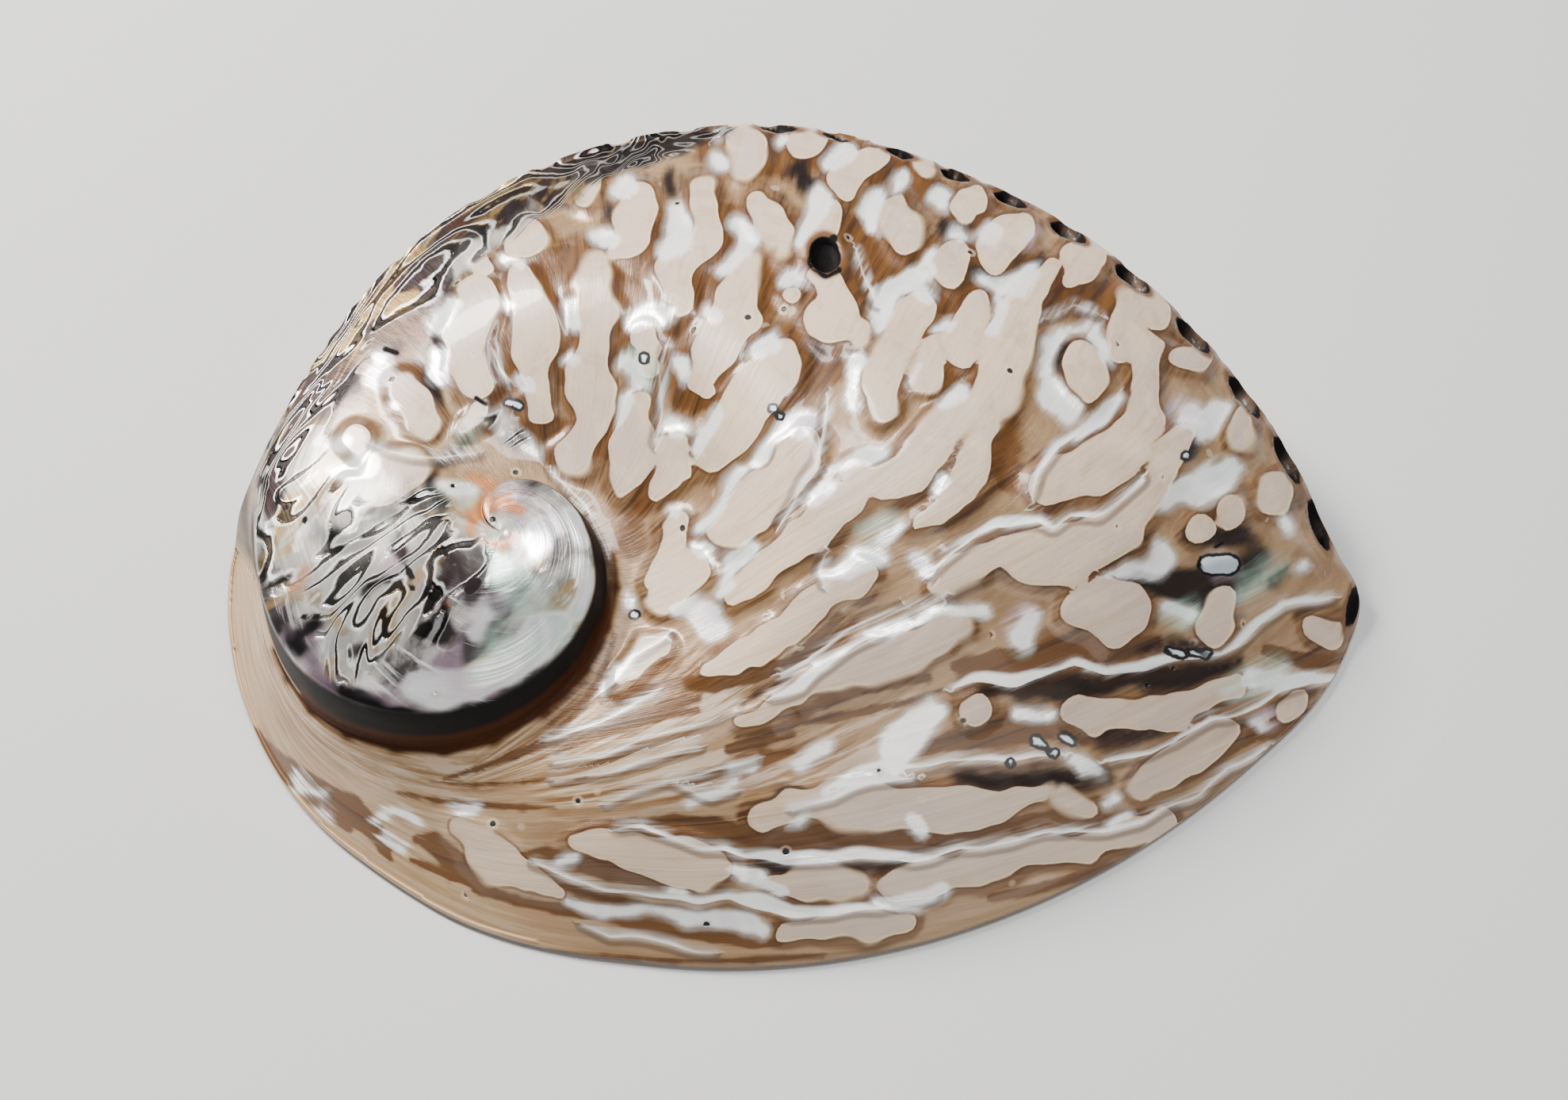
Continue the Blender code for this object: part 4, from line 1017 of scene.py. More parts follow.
def oval_cutter(place, size, up, down, turn, lean):
    """An oval rod: points round an ellipse at two heights, capped, leaned and turned."""
    sides = CUTTER_SIDES
    round_way = np.linspace(0, 2 * math.pi, sides, endpoint=False)
    ring = np.stack([size[1] / 2 * np.cos(round_way), size[0] / 2 * np.sin(round_way)], axis=-1)
    levels = [np.column_stack([ring, np.full(sides, height)]) for height in (-down, up)]
    points = np.concatenate(levels)
    low = np.arange(sides)
    after = (low + 1) % sides
    faces = np.stack([low, after, after + sides, low + sides], axis=1).tolist()
    faces += [list(range(sides))[::-1], list(range(sides, 2 * sides))]
    mesh = bpy.data.meshes.new("pore_cutter")
    mesh.from_pydata((points * MM).tolist(), [], faces)
    cutter = bpy.data.objects.new("pore_cutter", mesh)
    spin = Matrix.Rotation(math.radians(turn), 4, "Z") @ Matrix.Rotation(math.radians(lean), 4, "Y")
    mesh.transform(Matrix.Translation(Vector(place) * MM) @ spin)
    return cutter


def pore_cutters():
    """The cutters of the open pores, square to the run of the keel, and of the worn pit."""
    made = []
    for direction, length, width, inset in HOLES:
        place, run = pore_place(direction, inset)
        sink, outward = HOLE_SINK * place[2], math.degrees(run) - 90
        made.append(oval_cutter(place, (length, width), HOLE_PROUD, sink, outward, HOLE_LEAN))
    top = float(outside(np.array(PIT[0]), np.array(PIT[1])))
    place = (*plan(*PIT), top)
    made.append(oval_cutter(place, PIT_SIZE, HOLE_PROUD, PIT_DEPTH, 0, 0))
    return made


def vertex_values(mesh, name):
    """The vertices' places, or another value of three parts, in rows."""
    values = np.empty(len(mesh.vertices) * 3)
    mesh.vertices.foreach_get(name, values)
    return values.reshape(-1, 3)


def store(mesh, name, values):
    """Puts one number for each vertex into the mesh."""
    kept = mesh.attributes.new(name, "FLOAT", "POINT")
    kept.data.foreach_set("value", np.ascontiguousarray(values, np.float32))


def mark_mesh(mesh):
    """Writes the distances and growth counts that the nacre's nodes read, for a mesh that
    still lies in the plan's frame."""
    points, normals = vertex_values(mesh, "co") / MM, vertex_values(mesh, "normal")
    facing = facing_eye(points, normals)
    x, y = photo_place(points)
    direction, reach = place_of(points)
    plain = np.minimum(direction, COIL_OUT + 2 * FULL_TURN)
    top = turn_height(plain, reach)
    hidden = eased(top - points[:, 2], *INSIDE_GAP)
    hidden = np.where(normals[:, 2] < UNDERSIDE, 1, hidden)
    seen = eased(facing, *SEEN) * (1 - hidden)
    across, down, label, bands_so_far = counted(direction, reach)
    along = across * 25 + down * 6
    ragged = direction + 16 * ripple(reach / 4, direction / 9)
    spire = eased(ragged, COIL_OUT + FULL_TURN - 20, COIL_OUT + FULL_TURN + 30)
    store(mesh, "pad", pad_depth(points, facing))
    # Pad depth a few pixels right and down, which places the painted rim highlight
    below = unsettled(x + NEAR_SIDE_SHIFT[0], y + NEAR_SIDE_SHIFT[1])
    store(mesh, "pad_low", (depth_inside(*below, PADS) + PAD_GROWTH) * seen)
    loose = unsettled(x, y)
    for name, chains in (
        ("nacre_and_highlight", NACRE_AND_HIGHLIGHTS), ("shadow", SHADOWS), ("black", BLACKS), ("streak", STREAKS),
        ("copper", COPPERS), ("pink", PINKS), ("green", GREENS), ("busy", BUSY),
        ("brown", BROWNS), ("seam", SEAM_LINE), ("lump_glint", LUMP_GLINTS), ("fan", FANS),
    ):
        at = (x, y) if name in ("lump_glint", "seam", "black", "streak") else loose
        unseen = -MARK_LIMIT
        # Where the camera doesn't see, pale nacre with painted highlights comes in bands
        if name == "nacre_and_highlight":
            unseen = 2.4 * ripple(bands_so_far * 2.1 + 3, along + 4) - 2.1
        depth = np.clip(depth_inside(*at, chains), -MARK_LIMIT, MARK_LIMIT)
        store(mesh, name, depth * seen + unseen * (1 - seen))
    wavy = y + 1.8 * np.sin(x / 21) + 0.7 * np.sin(x / 9 + 1)
    side, width, nearest = drawn_lines(x, wavy, CREST_HIGHLIGHTS)
    store(mesh, "crest_side", np.clip(side, -SIDE_LIMIT, SIDE_LIMIT))
    store(mesh, "crest_width", width)
    store(mesh, "crest_near", np.clip(1 - nearest / LINE_NEAR, 0, 1) * seen)
    store(mesh, "pore", pore_depth(points, HOLES + CLOSED_PORES))
    store(mesh, "hidden", hidden)
    store(mesh, "spire", spire * (1 - hidden))
    store(mesh, "count", bands_so_far)
    store(mesh, "across", across)
    store(mesh, "label", label)
    store(mesh, "turn", np.radians(direction))
    store(mesh, "reach", reach)
    store(mesh, "wall", down * (1 - hidden))
    over, beyond = FAN_POINT[1] - y, x - FAN_POINT[0]
    away = np.hypot(over, beyond)
    store(mesh, "fan_turn", np.arctan2(over, np.maximum(beyond, 1)) - away / FAN_BEND)
    store(mesh, "fan_way", away / FAN_STEP)
    store(mesh, "fanned", eased(x, *FAN_PIXELS))
    store(mesh, "flange", eased(-direction, *FLANGE_SPAN) * (1 - spire) * (1 - hidden))
    lip = margin(np.where(direction >= COIL_OUT + FULL_TURN, direction - FULL_TURN, direction))
    store(mesh, "edge", np.clip(lip - reach, 0, SIDE_LIMIT))


def fit_to_solid(mesh):
    """Moves a mesh from the plan's frame to the solid's, and draws it in by the hair that its
    finer outline reaches past the solid's."""
    points = vertex_values(mesh, "co")
    low, high = points.min(axis=0), points.max(axis=0)
    points[:, :2] -= (low + high)[:2] / 2
    sides = np.array(SOLID_HIGH) - np.array(SOLID_LOW)
    points[:, :2] *= np.minimum(sides / (high - low), 1)[:2]
    points[:, 2] = np.maximum(points[:, 2], 0)
    mesh.vertices.foreach_set("co", points.ravel())
    mesh.update()


class Field:
    """A shader value that adds its Math nodes as it is used in sums and products."""

    def __init__(self, nodes, socket):
        self.nodes, self.socket = nodes, socket

    def math(self, operation, *others):
        values = [self] + list(others)
        return self.nodes.add("Math", {"operation": operation}, dict(enumerate(values)))

    def __add__(self, other):
        return self.math("ADD", other)

    def __radd__(self, other):
        return self.math("ADD", other)

    def __sub__(self, other):
        return self.math("SUBTRACT", other)

    def __rsub__(self, other):
        return (self * -1) + other

    def __mul__(self, other):
        return self.math("MULTIPLY", other)

    def __rmul__(self, other):
        return self.math("MULTIPLY", other)

    def __truediv__(self, other):
        return self.math("DIVIDE", other)

    def __abs__(self):
        return self.math("ABSOLUTE")

    def most(self, other):
        return self.math("MAXIMUM", other)

    def cut(self):
        return self.math("FRACT")

    def step(self, start, end):
        """0 at start, 1 at end and smooth between them."""
        settings = {"interpolation_type": "SMOOTHSTEP"}
        return self.nodes.add("MapRange", settings, {0: self, 1: start, 2: end, 3: 0.0, 4: 1.0})


class Nodes:
    """The nodes of one material."""

    def __init__(self, name):
        self.material = bpy.data.materials.new(name)
        self.material.use_nodes = True
        self.tree = self.material.node_tree
        self.shader = self.tree.nodes["Principled BSDF"]

    def add(self, kind, settings, inputs, output=0):
        """Adds a node, sets it, then fills its sockets with values or links them."""
        node = self.tree.nodes.new("ShaderNode" + kind)
        for name, value in settings.items():
            setattr(node, name, value)
        for key, value in inputs.items():
            self.fill(node.inputs[key], value)
        return Field(self, node.outputs[output])

    def fill(self, socket, value):
        """Links what a node gives, or sets a number, a place or the colour of a name."""
        if isinstance(value, Field):
            self.tree.links.new(value.socket, socket)
        elif isinstance(value, str):
            socket.default_value = (*getattr(bpy.context.scene.abalone_colours, value), 1.0)
        else:
            socket.default_value = value

    def read(self, name):
        return self.add("Attribute", {"attribute_name": name}, {}, "Fac")

    def place(self):
        return self.add("TexCoord", {}, {}, "Object")

    def join(self, x, y, z):
        return self.add("CombineXYZ", {}, {0: x, 1: y, 2: z})

    def noise(self, vector, scale, detail=3.0, roughness=0.5, distortion=0.0):
        inputs = {
            "Vector": vector, "Scale": scale, "Detail": detail, "Roughness": roughness,
            "Distortion": distortion,
        }
        return self.add("TexNoise", {}, inputs, "Fac")

    def tint(self, factor, base, colour):
        """A colour laid over another by a factor."""
        return self.add("Mix", {"data_type": "RGBA"}, {0: factor, 6: base, 7: colour}, 2)


def nacre_material():
    """Polished nacre: pale pads and worn valleys, painted highlights and shadows, growth striae and
    pin pits.
    """
    nodes = Nodes("nacre")
    at = nodes.place()
    read, noise, tint, join = nodes.read, nodes.noise, nodes.tint, nodes.join
    pad, count, across, label = read("pad"), read("count"), read("across"), read("label")
    spire, hidden, pore, busy = read("spire"), read("hidden"), read("pore"), read("busy")
    flange, wall, reach, turn = read("flange"), read("wall"), read("reach"), read("turn")

    cloud = noise(at, 38.0, 3.0)
    soft = noise(at, 110.0, 4.0)
    fine = noise(at, 420.0, 3.0)
    wobble = (fine - 0.5) * 0.7 + (soft - 0.5) * 1.6

    # Growth striae: noise drawn out along the growth lines
    striae = noise(join(count * 1.0, across * 1.4, 0.0), 5.0, 6.0, 0.62, 0.3)
    hair = noise(join(count * 1.0, across * 1.8, 4.0), 22.0, 4.0, 0.6, 0.2)
    flow = noise(join(label * 0.055, across * 9.0, 8.0), 2.2, 6.0, 0.65, 0.5)

    # Valleys: golden brown beside the pads, tan away from them
    golden = (read("brown") + wobble * 2.5).step(-3.0, 2.5)
    beside = 1 - (pad * -1).step(0.9, 2.6)
    deep = tint(striae.step(0.38, 0.7), "valley", "valley_deep")
    colour = tint(flow.step(0.35, 0.65), "valley_pale", "valley_grey")
    golden = golden.most(beside * 0.55) + (striae - 0.5) * 0.9
    colour = tint(golden.step(0.15, 0.75), colour, deep)
    colour = tint(hair.step(0.6, 0.75) * 0.4, colour, "valley_deep")

    # Near flange: tan with fine lines
    line = noise(join(across * 3.4 - turn * 0.4, turn * 0.35, 5.0), 7.0, 6.0, 0.65, 0.1)
    tan = tint(line.step(0.38, 0.6), "flange", "flange_pale")
    tan = tint(line.step(0.6, 0.68) * 0.6, tan, "flange_deep")
    tan = tint((1 - line.step(0.3, 0.38)) * 0.5, tan, "flange_deep")
    colour = tint(flange.step(0.25, 0.8), colour, tan)
    rays = join(read("fan_turn") * 2.6, read("fan_way") * 0.045, 6.0)
    spread_out = noise(rays, 9.0, 5.0, 0.62, 0.1)
    fanned = read("fanned")
    strands = spread_out * fanned + line * (1 - fanned)
    woven = tint(strands.step(0.42, 0.5), "valley", "flange")
    woven = tint(strands.step(0.51, 0.58), woven, "pad")
    fan = (read("fan") + wobble * 1.5).step(-2.5, 2.5)
    colour = tint(fan * (0.85 - flange * 0.35), colour, woven)
    streak = (read("streak") + wobble * 0.6 + (hair - 0.5) * 1.2).step(-0.25, 0.3)
    colour = tint(streak * 0.95, colour, tint(striae.step(0.35, 0.65), "streak", deep))

    # Painted shadow, and pale nacre with painted highlights, beside the pads
    shade = (read("shadow") + wobble + (striae - 0.5) * 2.0).step(-1.3, 1.0)
    colour = tint(shade * 0.95, colour, "shadow")
    ragged = read("nacre_and_highlight") + wobble * 0.8 + (striae - 0.5) * 1.8 + (line - 0.53) * flange * 5
    nacre_and_highlight = ragged.step(-0.55, 0.3)
    colour = tint(ragged.step(-1.3, -0.3) * 0.2, colour, "nacre_and_highlight")
    colour = tint(nacre_and_highlight, colour, "nacre_and_highlight")

    # Pads, with a painted rim highlight: a paler line along their near side
    pale_edge = pad + (soft - 0.5) * 0.5 + (fine - 0.5) * 0.15
    fading = noise(at, 70.0, 1.0).step(0.52, 0.7)
    on_pad = pale_edge.step(fading * -1.0 - 0.08, fading * 0.5 + 0.08)
    # Painted rim highlight: a pale line where a pad ends on its near side
    rim = (1 - (pad - 0.02).step(0.12, 0.42)) * (1 - read("pad_low").step(-0.5, 0.1))
    pale = tint(cloud.step(0.35, 0.65), "pad", "pad_cool")
    pale = tint(striae.step(0.5, 0.68) * 0.45, pale, "pad_warm")
    pale = tint(hair.step(0.54, 0.7) * 0.3, pale, "pad_warm")
    pale = tint(line.step(0.5, 0.62) * flange * 0.45, pale, "pad_warm")
    pale = tint(flow.step(0.52, 0.66) * 0.3, pale, "valley_pale")
    pale = tint((1 - flow.step(0.36, 0.46)) * 0.4, pale, "pad_streak_and_rim_highlight")
    pale = tint((1 - pale_edge.step(0.0, 0.8)) * 0.35, pale, "pad_warm")
    pale = tint(rim * 0.8, pale, "pad_streak_and_rim_highlight")
    pale = tint(nacre_and_highlight * 0.75, pale, "nacre_and_highlight")
    colour = tint(on_pad, colour, pale)
    outline = (pale_edge + 0.3).step(-0.2, 0.0) * (1 - (pale_edge + 0.14).step(0.0, 0.14))
    outline = outline * 0.45 * (1 - hidden) * (1 - nacre_and_highlight) * (1 - fading)
    colour = tint(outline, colour, "valley_deep")

    # Crest lines: painted highlights along ridges between bands, ragged on their upper side, with a
    # painted glow round them and painted shade below them
    closeness = read("crest_near").step(0.2, 0.55)
    side, width = read("crest_side"), read("crest_width")
    loose = side + wobble * 0.35
    swell = (noise(at, 60.0, 2.0) - 0.5) * 3.6 + 0.8
    low = (width * swell * 0.7 - loose).step(-0.08, 0.1)
    high = (loose + width * swell * 1.7).step(-0.1, 0.75)
    crest_highlight = low * high * closeness * swell.step(0.0, 0.3)
    # Painted glow round the crest lines, and a band of painted shade below them
    glow = (1 - abs(side).step(0.1, 1.7)) * closeness * striae.step(0.4, 0.65)
    below = (1 - abs(side - width - 0.7).step(0.15, 0.8)) * closeness
    colour = tint(glow * 0.5, colour, "nacre_and_highlight")
    colour = tint(below * swell.step(0.0, 0.4) * 0.6, colour, "valley_deep")
    colour = tint(crest_highlight, colour, "nacre_and_highlight")

    # Spire: silver, tan and black nacre drawn out aslant, with painted highlights, and a wall
    # painted dark as shade
    aslant = nodes.add(
        "Mapping", {"vector_type": "TEXTURE"},
        {"Vector": at, "Rotation": (0.0, 0.0, 0.95), "Scale": (2.6, 1.0, 1.0)},
    )
    curl = noise(aslant, 95.0, 4.0, 0.55, 1.4)
    drawn = noise(aslant, 170.0, 3.0, 0.6, 0.8)
    rings = noise(join(turn * 0.9, reach * 0.55, 2.0), 2.4, 5.0, 0.6, 0.7)
    silver = tint(curl.step(0.38, 0.6), "silver", "silver_deep")
    silver = tint(drawn.step(0.54, 0.62) * 0.75, silver, "olive")
    silver = tint(rings.step(0.55, 0.7) * 0.6, silver, "nacre_and_highlight")
    silver = tint(ragged.step(-1.3, 0.6), silver, "nacre_and_highlight")
    # Painted shadow and painted shade on the spire's wall
    silver = tint((read("shadow") + wobble).step(-1.2, 0.5), silver, "spire_wall_shade")
    silver = tint(wall.step(0.08, 0.36), silver, "spire_wall_shade")
    silver = tint(wall.step(0.86, 0.99), silver, "suture")
    colour = tint(spire, colour, silver)
    seam = (read("seam") + wobble * 0.4).step(-0.5, 0.4) * (1 - hidden)
    colour = tint(seam, colour, "suture")

    # Inside: bright iridescent nacre
    inner = tint(cloud.step(0.3, 0.7), "inner", "inner_green")
    inner = tint(soft.step(0.52, 0.7) * 0.7, inner, "inner_pink")
    inner = tint(flow.step(0.55, 0.8) * 0.5, inner, "silver")
    rim_flat = 1 - read("edge").step(1.6, 3.6)
    inner = tint(rim_flat, inner, "flange")
    colour = tint(hidden, colour, inner)

    # Colour play of the nacre
    play = noise(at, 60.0, 2.0, 0.5, 1.5)
    thin = nacre_and_highlight * 0.2 + spire * (1 - wall.step(0.0, 0.3)) * 0.3 + hidden * 0.3
    colour = tint(play.step(0.55, 0.68) * thin, colour, "inner_green")
    colour = tint((1 - play.step(0.34, 0.45)) * thin, colour, "inner_pink")
    patchy = striae.step(0.35, 0.65)
    colour = tint((read("pink") + wobble).step(-1.6, 1.0) * 0.5 * patchy, colour, "pink")
    colour = tint((read("green") + wobble).step(-1.8, 1.0) * 0.5 * patchy, colour, "green")
    colour = tint((read("copper") + wobble).step(-1.0, 0.5) * 0.85, colour, "copper")

    # Worn layers cut through in contour lines: black, with silver and tan between them
    worn = (busy + wobble * 2.0).step(-1.6, 0.6)
    layers = noise(aslant, 58.0, 2.0, 0.5, 1.6) * 11.0 + soft * 1.5
    band = abs(layers.cut() - 0.5)
    # Painted shade: darker between the lines away from the spire and under the painted shadows
    shade_off_spire = 1 - spire * 0.65
    grey = noise(aslant, 40.0, 1.0) - shade_off_spire * 0.13 - shade * 0.12
    between = tint(grey.step(0.4, 0.5), "shadow", "silver")
    between = tint(drawn.step(0.52, 0.6) * 0.8, between, "olive")
    contour = (1 - band.step(0.08, 0.17)) * worn
    lift = band.step(0.14, 0.2) * (1 - band.step(0.22, 0.3)) * worn
    colour = tint(worn * 0.9, colour, between)
    colour = tint(lift * 0.5, colour, "nacre_and_highlight")
    colour = tint(contour * 0.9, colour, "black")

    # Pearly lumps, outlined black, their blue-white partly a painted glint
    lump_glint = read("lump_glint") + wobble * 1.1
    colour = tint(lump_glint.step(-0.62, -0.4), colour, "black")
    colour = tint(lump_glint.step(-0.15, 0.05), colour, "lump_glint")

    # Pin pits, black with a pale edge
    murk = (wall.step(0.05, 0.3) * spire).most(read("seam").step(-1.0, 0.0))
    cells = nodes.add(
        "TexVoronoi", {"voronoi_dimensions": "3D"},
        {"Vector": at, "Scale": 190.0, "Randomness": 1.0},
    )
    sparse = noise(at, 120.0, 1.0).step(0.57, 0.59)
    pit = (1 - (cells + (fine - 0.5) * 0.08).step(0.07, 0.1)) * sparse
    halo = (1 - cells.step(0.14, 0.19)) * sparse
    colour = tint(halo * 0.35 * (1 - murk) * (1 - shade), colour, "pad_streak_and_rim_highlight")
    colour = tint(pit, colour, "black")

    # Pores: painted shade, black, inside them, black worn spots, and a brown worn rim
    spot = (read("black") + wobble * 0.3).step(-0.2, 0.2)
    pore_shade_and_black_spots = (pore + wobble * 0.15).step(-0.4, -0.1).most(spot)
    colour = tint((pore + wobble * 0.5).step(-1.3, -0.5) * (1 - hidden), colour, "pore_rim")
    colour = tint(pore_shade_and_black_spots, colour, "black")

    dull = (1 - pore_shade_and_black_spots) * (1 - murk * 0.95)
    depth = contour.most(pit) * -1.0 + hair * 0.15 * (1 - on_pad) + soft * 0.15 + striae * 0.35
    bump = nodes.add("Bump", {}, {"Strength": 0.5, "Distance": 0.0005, "Height": depth}, "Normal")
    rough = 0.32 - nacre_and_highlight * 0.1 - spire * 0.1 - hidden * 0.08 + fine * 0.1 + (1 - dull) * 0.4
    bright = nacre_and_highlight.most(crest_highlight) * 0.2 + spire * 0.25 + hidden * 0.4 + (1 - on_pad) * 0.2
    murky = (1 - dull).most(contour).most(shade * (1 - on_pad) * 0.8)
    murky = murky.most(worn * (1 - grey.step(0.4, 0.5)))
    shine = bright.most(murky * 0.95)
    sockets = nodes.shader.inputs
    nodes.fill(sockets["Base Color"], colour)
    nodes.fill(sockets["Roughness"], rough)
    nodes.fill(sockets["Metallic"], shine)
    nodes.fill(sockets["Normal"], bump)
    nodes.fill(sockets["Coat Weight"], (1 - murky) * 0.3)
    nodes.fill(sockets["Coat Roughness"], 0.07)
    return nodes.material


def count_setting(label, text, value, least):
    return bpy.props.IntProperty(name=label, description=text, default=value, min=least)


def length_setting(label, text, value):
    return bpy.props.FloatProperty(name=label, description=text, default=value, unit="LENGTH")


class AbaloneSizes(bpy.types.PropertyGroup):
    columns: count_setting("Columns", "Grid lines round a turn", 560, 90)
    back_rows: count_setting("Back rows", "Grid rows across the spire's back", 24, 6)
    wall_rows: count_setting("Wall rows", "Grid rows down the spire's wall", 6, 2)
    inner_rows: count_setting("Inner rows", "Grid rows across the inside", 7, 4)
    valley_depth: length_setting("Valley depth", "Depth of the valleys below the pads", 0.0007)
    valley_side: length_setting("Valley side", "Width of the slope into a valley", 0.0022)
    pore_rim: length_setting("Pore rim", "Height of the rim round a breathing hole", 0.0004)
    floor_width: length_setting("Floor width", "Width of the pale floor", 6.0)


def colour_setting(label, text, value):
    return bpy.props.FloatVectorProperty(
        name=label, description=text, default=value, size=3, subtype="COLOR", min=0, max=1
    )


class AbaloneColours(bpy.types.PropertyGroup):
    pad: colour_setting("Pad", "Pale pads of the back", (0.585, 0.439, 0.323))
    pad_cool: colour_setting("Cool pad", "The greyer pads", (0.478, 0.373, 0.302))
    pad_warm: colour_setting("Warm pad", "Warm growth lines in the pads", (0.451, 0.295, 0.164))
    # Pale streaks in the pads, pale halos of the pin pits, and the painted rim highlight
    pad_streak_and_rim_highlight: colour_setting("Pad rim", "Pale line along a pad's near side", (0.688, 0.516, 0.327))
    valley: colour_setting("Valley", "Golden brown valleys", (0.130, 0.050, 0.009))
    valley_deep: colour_setting("Deep valley", "The darkest brown", (0.043, 0.015, 0.003))
    valley_grey: colour_setting("Grey valley", "Greyer parts of the valleys", (0.221, 0.127, 0.059))
    valley_pale: colour_setting("Pale valley", "Paler parts of the valleys", (0.336, 0.209, 0.111))
    flange: colour_setting("Flange", "Tan of the near side and the rim", (0.328, 0.201, 0.098))
    flange_pale: colour_setting("Pale flange", "Paler growth lines", (0.435, 0.303, 0.184))
    flange_deep: colour_setting("Deep flange", "Darker growth lines", (0.126, 0.056, 0.017))
    streak: colour_setting("Streak", "Brown streaks of the near side", (0.105, 0.041, 0.008))
    shadow: colour_setting("Shade", "Grey-brown shade between pads", (0.025, 0.017, 0.017))
    # Pale nacre and painted highlights, also of the crest lines, the spire and the worn layers'
    # edges
    nacre_and_highlight: colour_setting("Gleam", "Bright nacre beside the pads", (0.98, 0.965, 0.94))
    silver: colour_setting("Silver", "Silver nacre of the spire", (0.383, 0.365, 0.332))
    silver_deep: colour_setting("Deep silver", "Darker nacre of the spire", (0.05, 0.04, 0.04))
    # Painted shade of the spire's wall, and of the painted shadows on the spire
    spire_wall_shade: colour_setting("Spire wall", "Dark wall of the spire", (0.012, 0.010, 0.010))
    suture: colour_setting("Suture", "Brown line where turns meet", (0.055, 0.018, 0.007))
    inner: colour_setting("Inside", "Nacre of the inside", (0.70, 0.70, 0.68))
    inner_green: colour_setting("Green play", "Green of the nacre's play", (0.48, 0.72, 0.60))
    inner_pink: colour_setting("Pink play", "Pink of the nacre's play", (0.74, 0.50, 0.62))
    pink: colour_setting("Pink", "Pink gleam", (0.85, 0.66, 0.74))
    green: colour_setting("Green", "Green gleam", (0.55, 0.75, 0.62))
    copper: colour_setting("Copper", "Orange brown patches", (0.42, 0.13, 0.025))
    olive: colour_setting("Olive", "Tan and olive layers worn into", (0.281, 0.178, 0.064))
    # Partly a painted glint
    lump_glint: colour_setting("Pearl", "Blue-white worn lumps", (0.66, 0.74, 0.80))
    # Black: also the painted shade inside the pores
    black: colour_setting("Pit", "Pits and the inside of holes", (0.012, 0.010, 0.010))
    pore_rim: colour_setting("Hole rim", "Worn rim of a breathing hole", (0.13, 0.055, 0.018))
    floor: colour_setting("Floor", "Pale floor", (0.496, 0.488, 0.480))


class ABALONE_OT_shell(bpy.types.Operator):
    """Builds the polished shell with its nacre"""

    bl_idname = "abalone.shell"
    bl_label = "Shell"

    def execute(self, context):
        points, faces = shell_sheets()
        mesh = bpy.data.meshes.new("polished_shell")
        mesh.from_pydata((points * MM).tolist(), [], faces)
        seal(mesh, SEAM)
        shell = bpy.data.objects.new("polished_shell", mesh)
        context.scene.collection.objects.link(shell)
        for cutter in pore_cutters():
            context.scene.collection.objects.link(cutter)
            cut = shell.modifiers.new("pore", "BOOLEAN")
            cut.object = cutter
            cut.solver = "EXACT"
            graph = context.evaluated_depsgraph_get()
            mesh = bpy.data.meshes.new_from_object(shell.evaluated_get(graph))
            shell.modifiers.clear()
            shell.data = mesh
            bpy.data.objects.remove(cutter)
        seal(mesh, SLIVER, slivers=True)
        mesh.shade_smooth()
        mark_mesh(mesh)
        fit_to_solid(mesh)
        mesh.materials.clear()
        mesh.materials.append(nacre_material())
        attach(shell, "root")
        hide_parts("shell")
        return {"FINISHED"}


def add_light(name, place, size, power, colour):
    """A soft square light that looks at the middle of the shell."""
    data = bpy.data.lights.new(name, "AREA")
    data.shape = "RECTANGLE"
    data.size, data.size_y = size
    data.energy, data.color = power, colour
    light = bpy.data.objects.new(name, data)
    light.location = place
    light.rotation_euler = (-Vector(place)).to_track_quat("-Z", "Y").to_euler()
    bpy.context.scene.collection.objects.link(light)
    return light


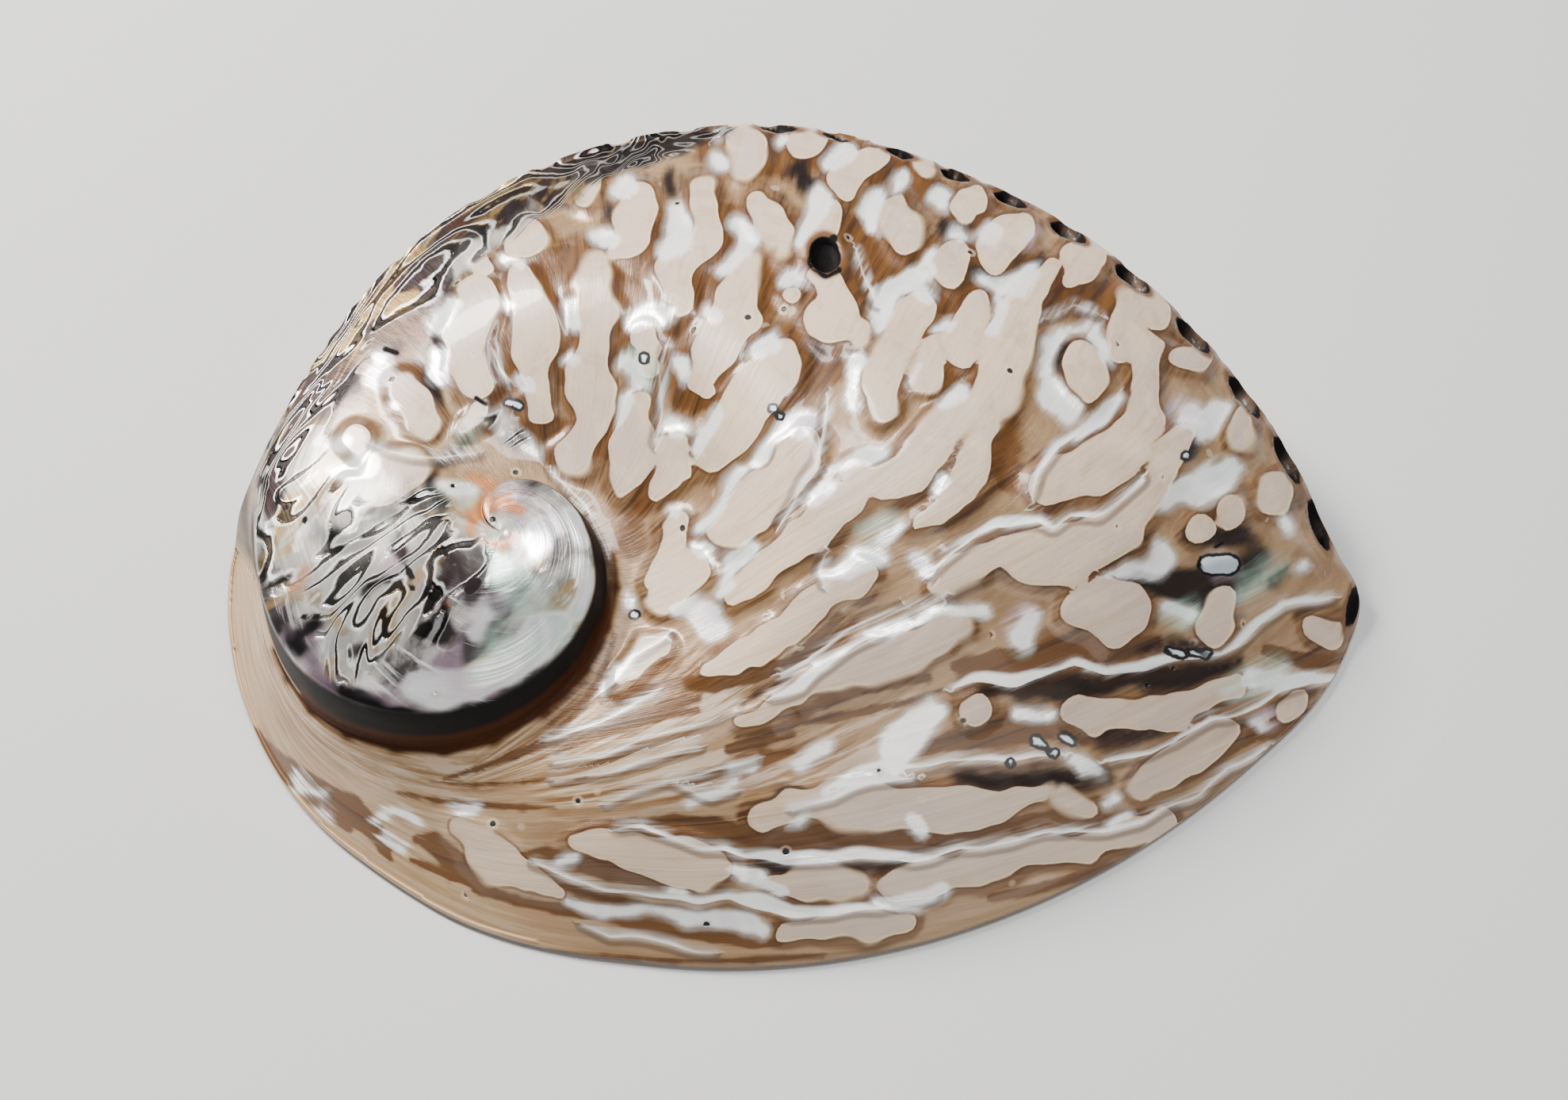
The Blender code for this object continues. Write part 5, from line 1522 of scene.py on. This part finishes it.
class ABALONE_OT_stage(bpy.types.Operator):
    """Sets out the pale floor, the soft lights and the camera"""

    bl_idname = "abalone.stage"
    bl_label = "Stage"

    def execute(self, context):
        half = context.scene.abalone_sizes.floor_width / 2
        mesh = bpy.data.meshes.new("floor")
        corners = [(-half, -half, 0), (half, -half, 0), (half, half, 0), (-half, half, 0)]
        mesh.from_pydata(corners, [], [(0, 1, 2, 3)])
        nodes = Nodes("floor")
        nodes.fill(nodes.shader.inputs["Base Color"], "floor")
        nodes.fill(nodes.shader.inputs["Roughness"], FLOOR_ROUGHNESS)
        mesh.materials.append(nodes.material)
        floor = bpy.data.objects.new("floor", mesh)
        context.scene.collection.objects.link(floor)
        world = bpy.data.worlds.new("studio")
        world.use_nodes = True
        background = world.node_tree.nodes["Background"]
        background.inputs["Color"].default_value = SKY
        background.inputs["Strength"].default_value = SKY_STRENGTH
        context.scene.world = world
        lights = [add_light(*light) for light in LIGHTS]
        forward, right, up = eye_axes()
        data = bpy.data.cameras.new("camera")
        data.lens, data.sensor_width = LENS, SENSOR
        data.shift_x = (PHOTO[0] / 2 - AIM_PIXEL[0]) / PHOTO[0]
        data.shift_y = (AIM_PIXEL[1] - PHOTO[1] / 2) / PHOTO[0]
        camera = bpy.data.objects.new("camera", data)
        turned = Matrix(np.stack([right, up, -forward], axis=1).tolist()).to_4x4()
        camera.matrix_world = Matrix.Translation(Vector(EYE + shell_offset()) * MM) @ turned
        context.scene.collection.objects.link(camera)
        context.scene.camera = camera
        return {"FINISHED"}


def shell_offset():
    """Where the plan's zero lies in the finished shell's frame, whose zero is the middle of the
    outline."""
    way = np.linspace(COIL_OUT, COIL_OUT + FULL_TURN, OUTLINE_STEPS)
    x, y = plan(way, margin(way))
    return -np.array([x.min() + x.max(), y.min() + y.max(), 0.0]) / 2


class ABALONE_PT_panel(bpy.types.Panel):
    """Lists the shell's operators and settings"""

    bl_idname = "ABALONE_PT_panel"
    bl_label = "Abalone shell"
    bl_space_type = "VIEW_3D"
    bl_region_type = "UI"
    bl_category = "Shell"

    def draw(self, context):
        layout = self.layout
        layout.operator("abalone.shell")
        layout.operator("abalone.stage")
        for group in (context.scene.abalone_sizes, context.scene.abalone_colours):
            for name in group.bl_rna.properties.keys():
                if name not in ("rna_type", "name"):
                    layout.prop(group, name)


CLASSES = (AbaloneSizes, AbaloneColours, ABALONE_OT_shell, ABALONE_OT_stage, ABALONE_PT_panel)


def register():
    for kind in CLASSES:
        bpy.utils.register_class(kind)
    bpy.types.Scene.abalone_sizes = bpy.props.PointerProperty(type=AbaloneSizes)
    bpy.types.Scene.abalone_colours = bpy.props.PointerProperty(type=AbaloneColours)


def unregister():
    del bpy.types.Scene.abalone_colours
    del bpy.types.Scene.abalone_sizes
    for kind in reversed(CLASSES):
        bpy.utils.unregister_class(kind)


def main():
    register()
    bpy.ops.abalone.shell()
    bpy.ops.abalone.stage()


if __name__ == "__main__":
    main()
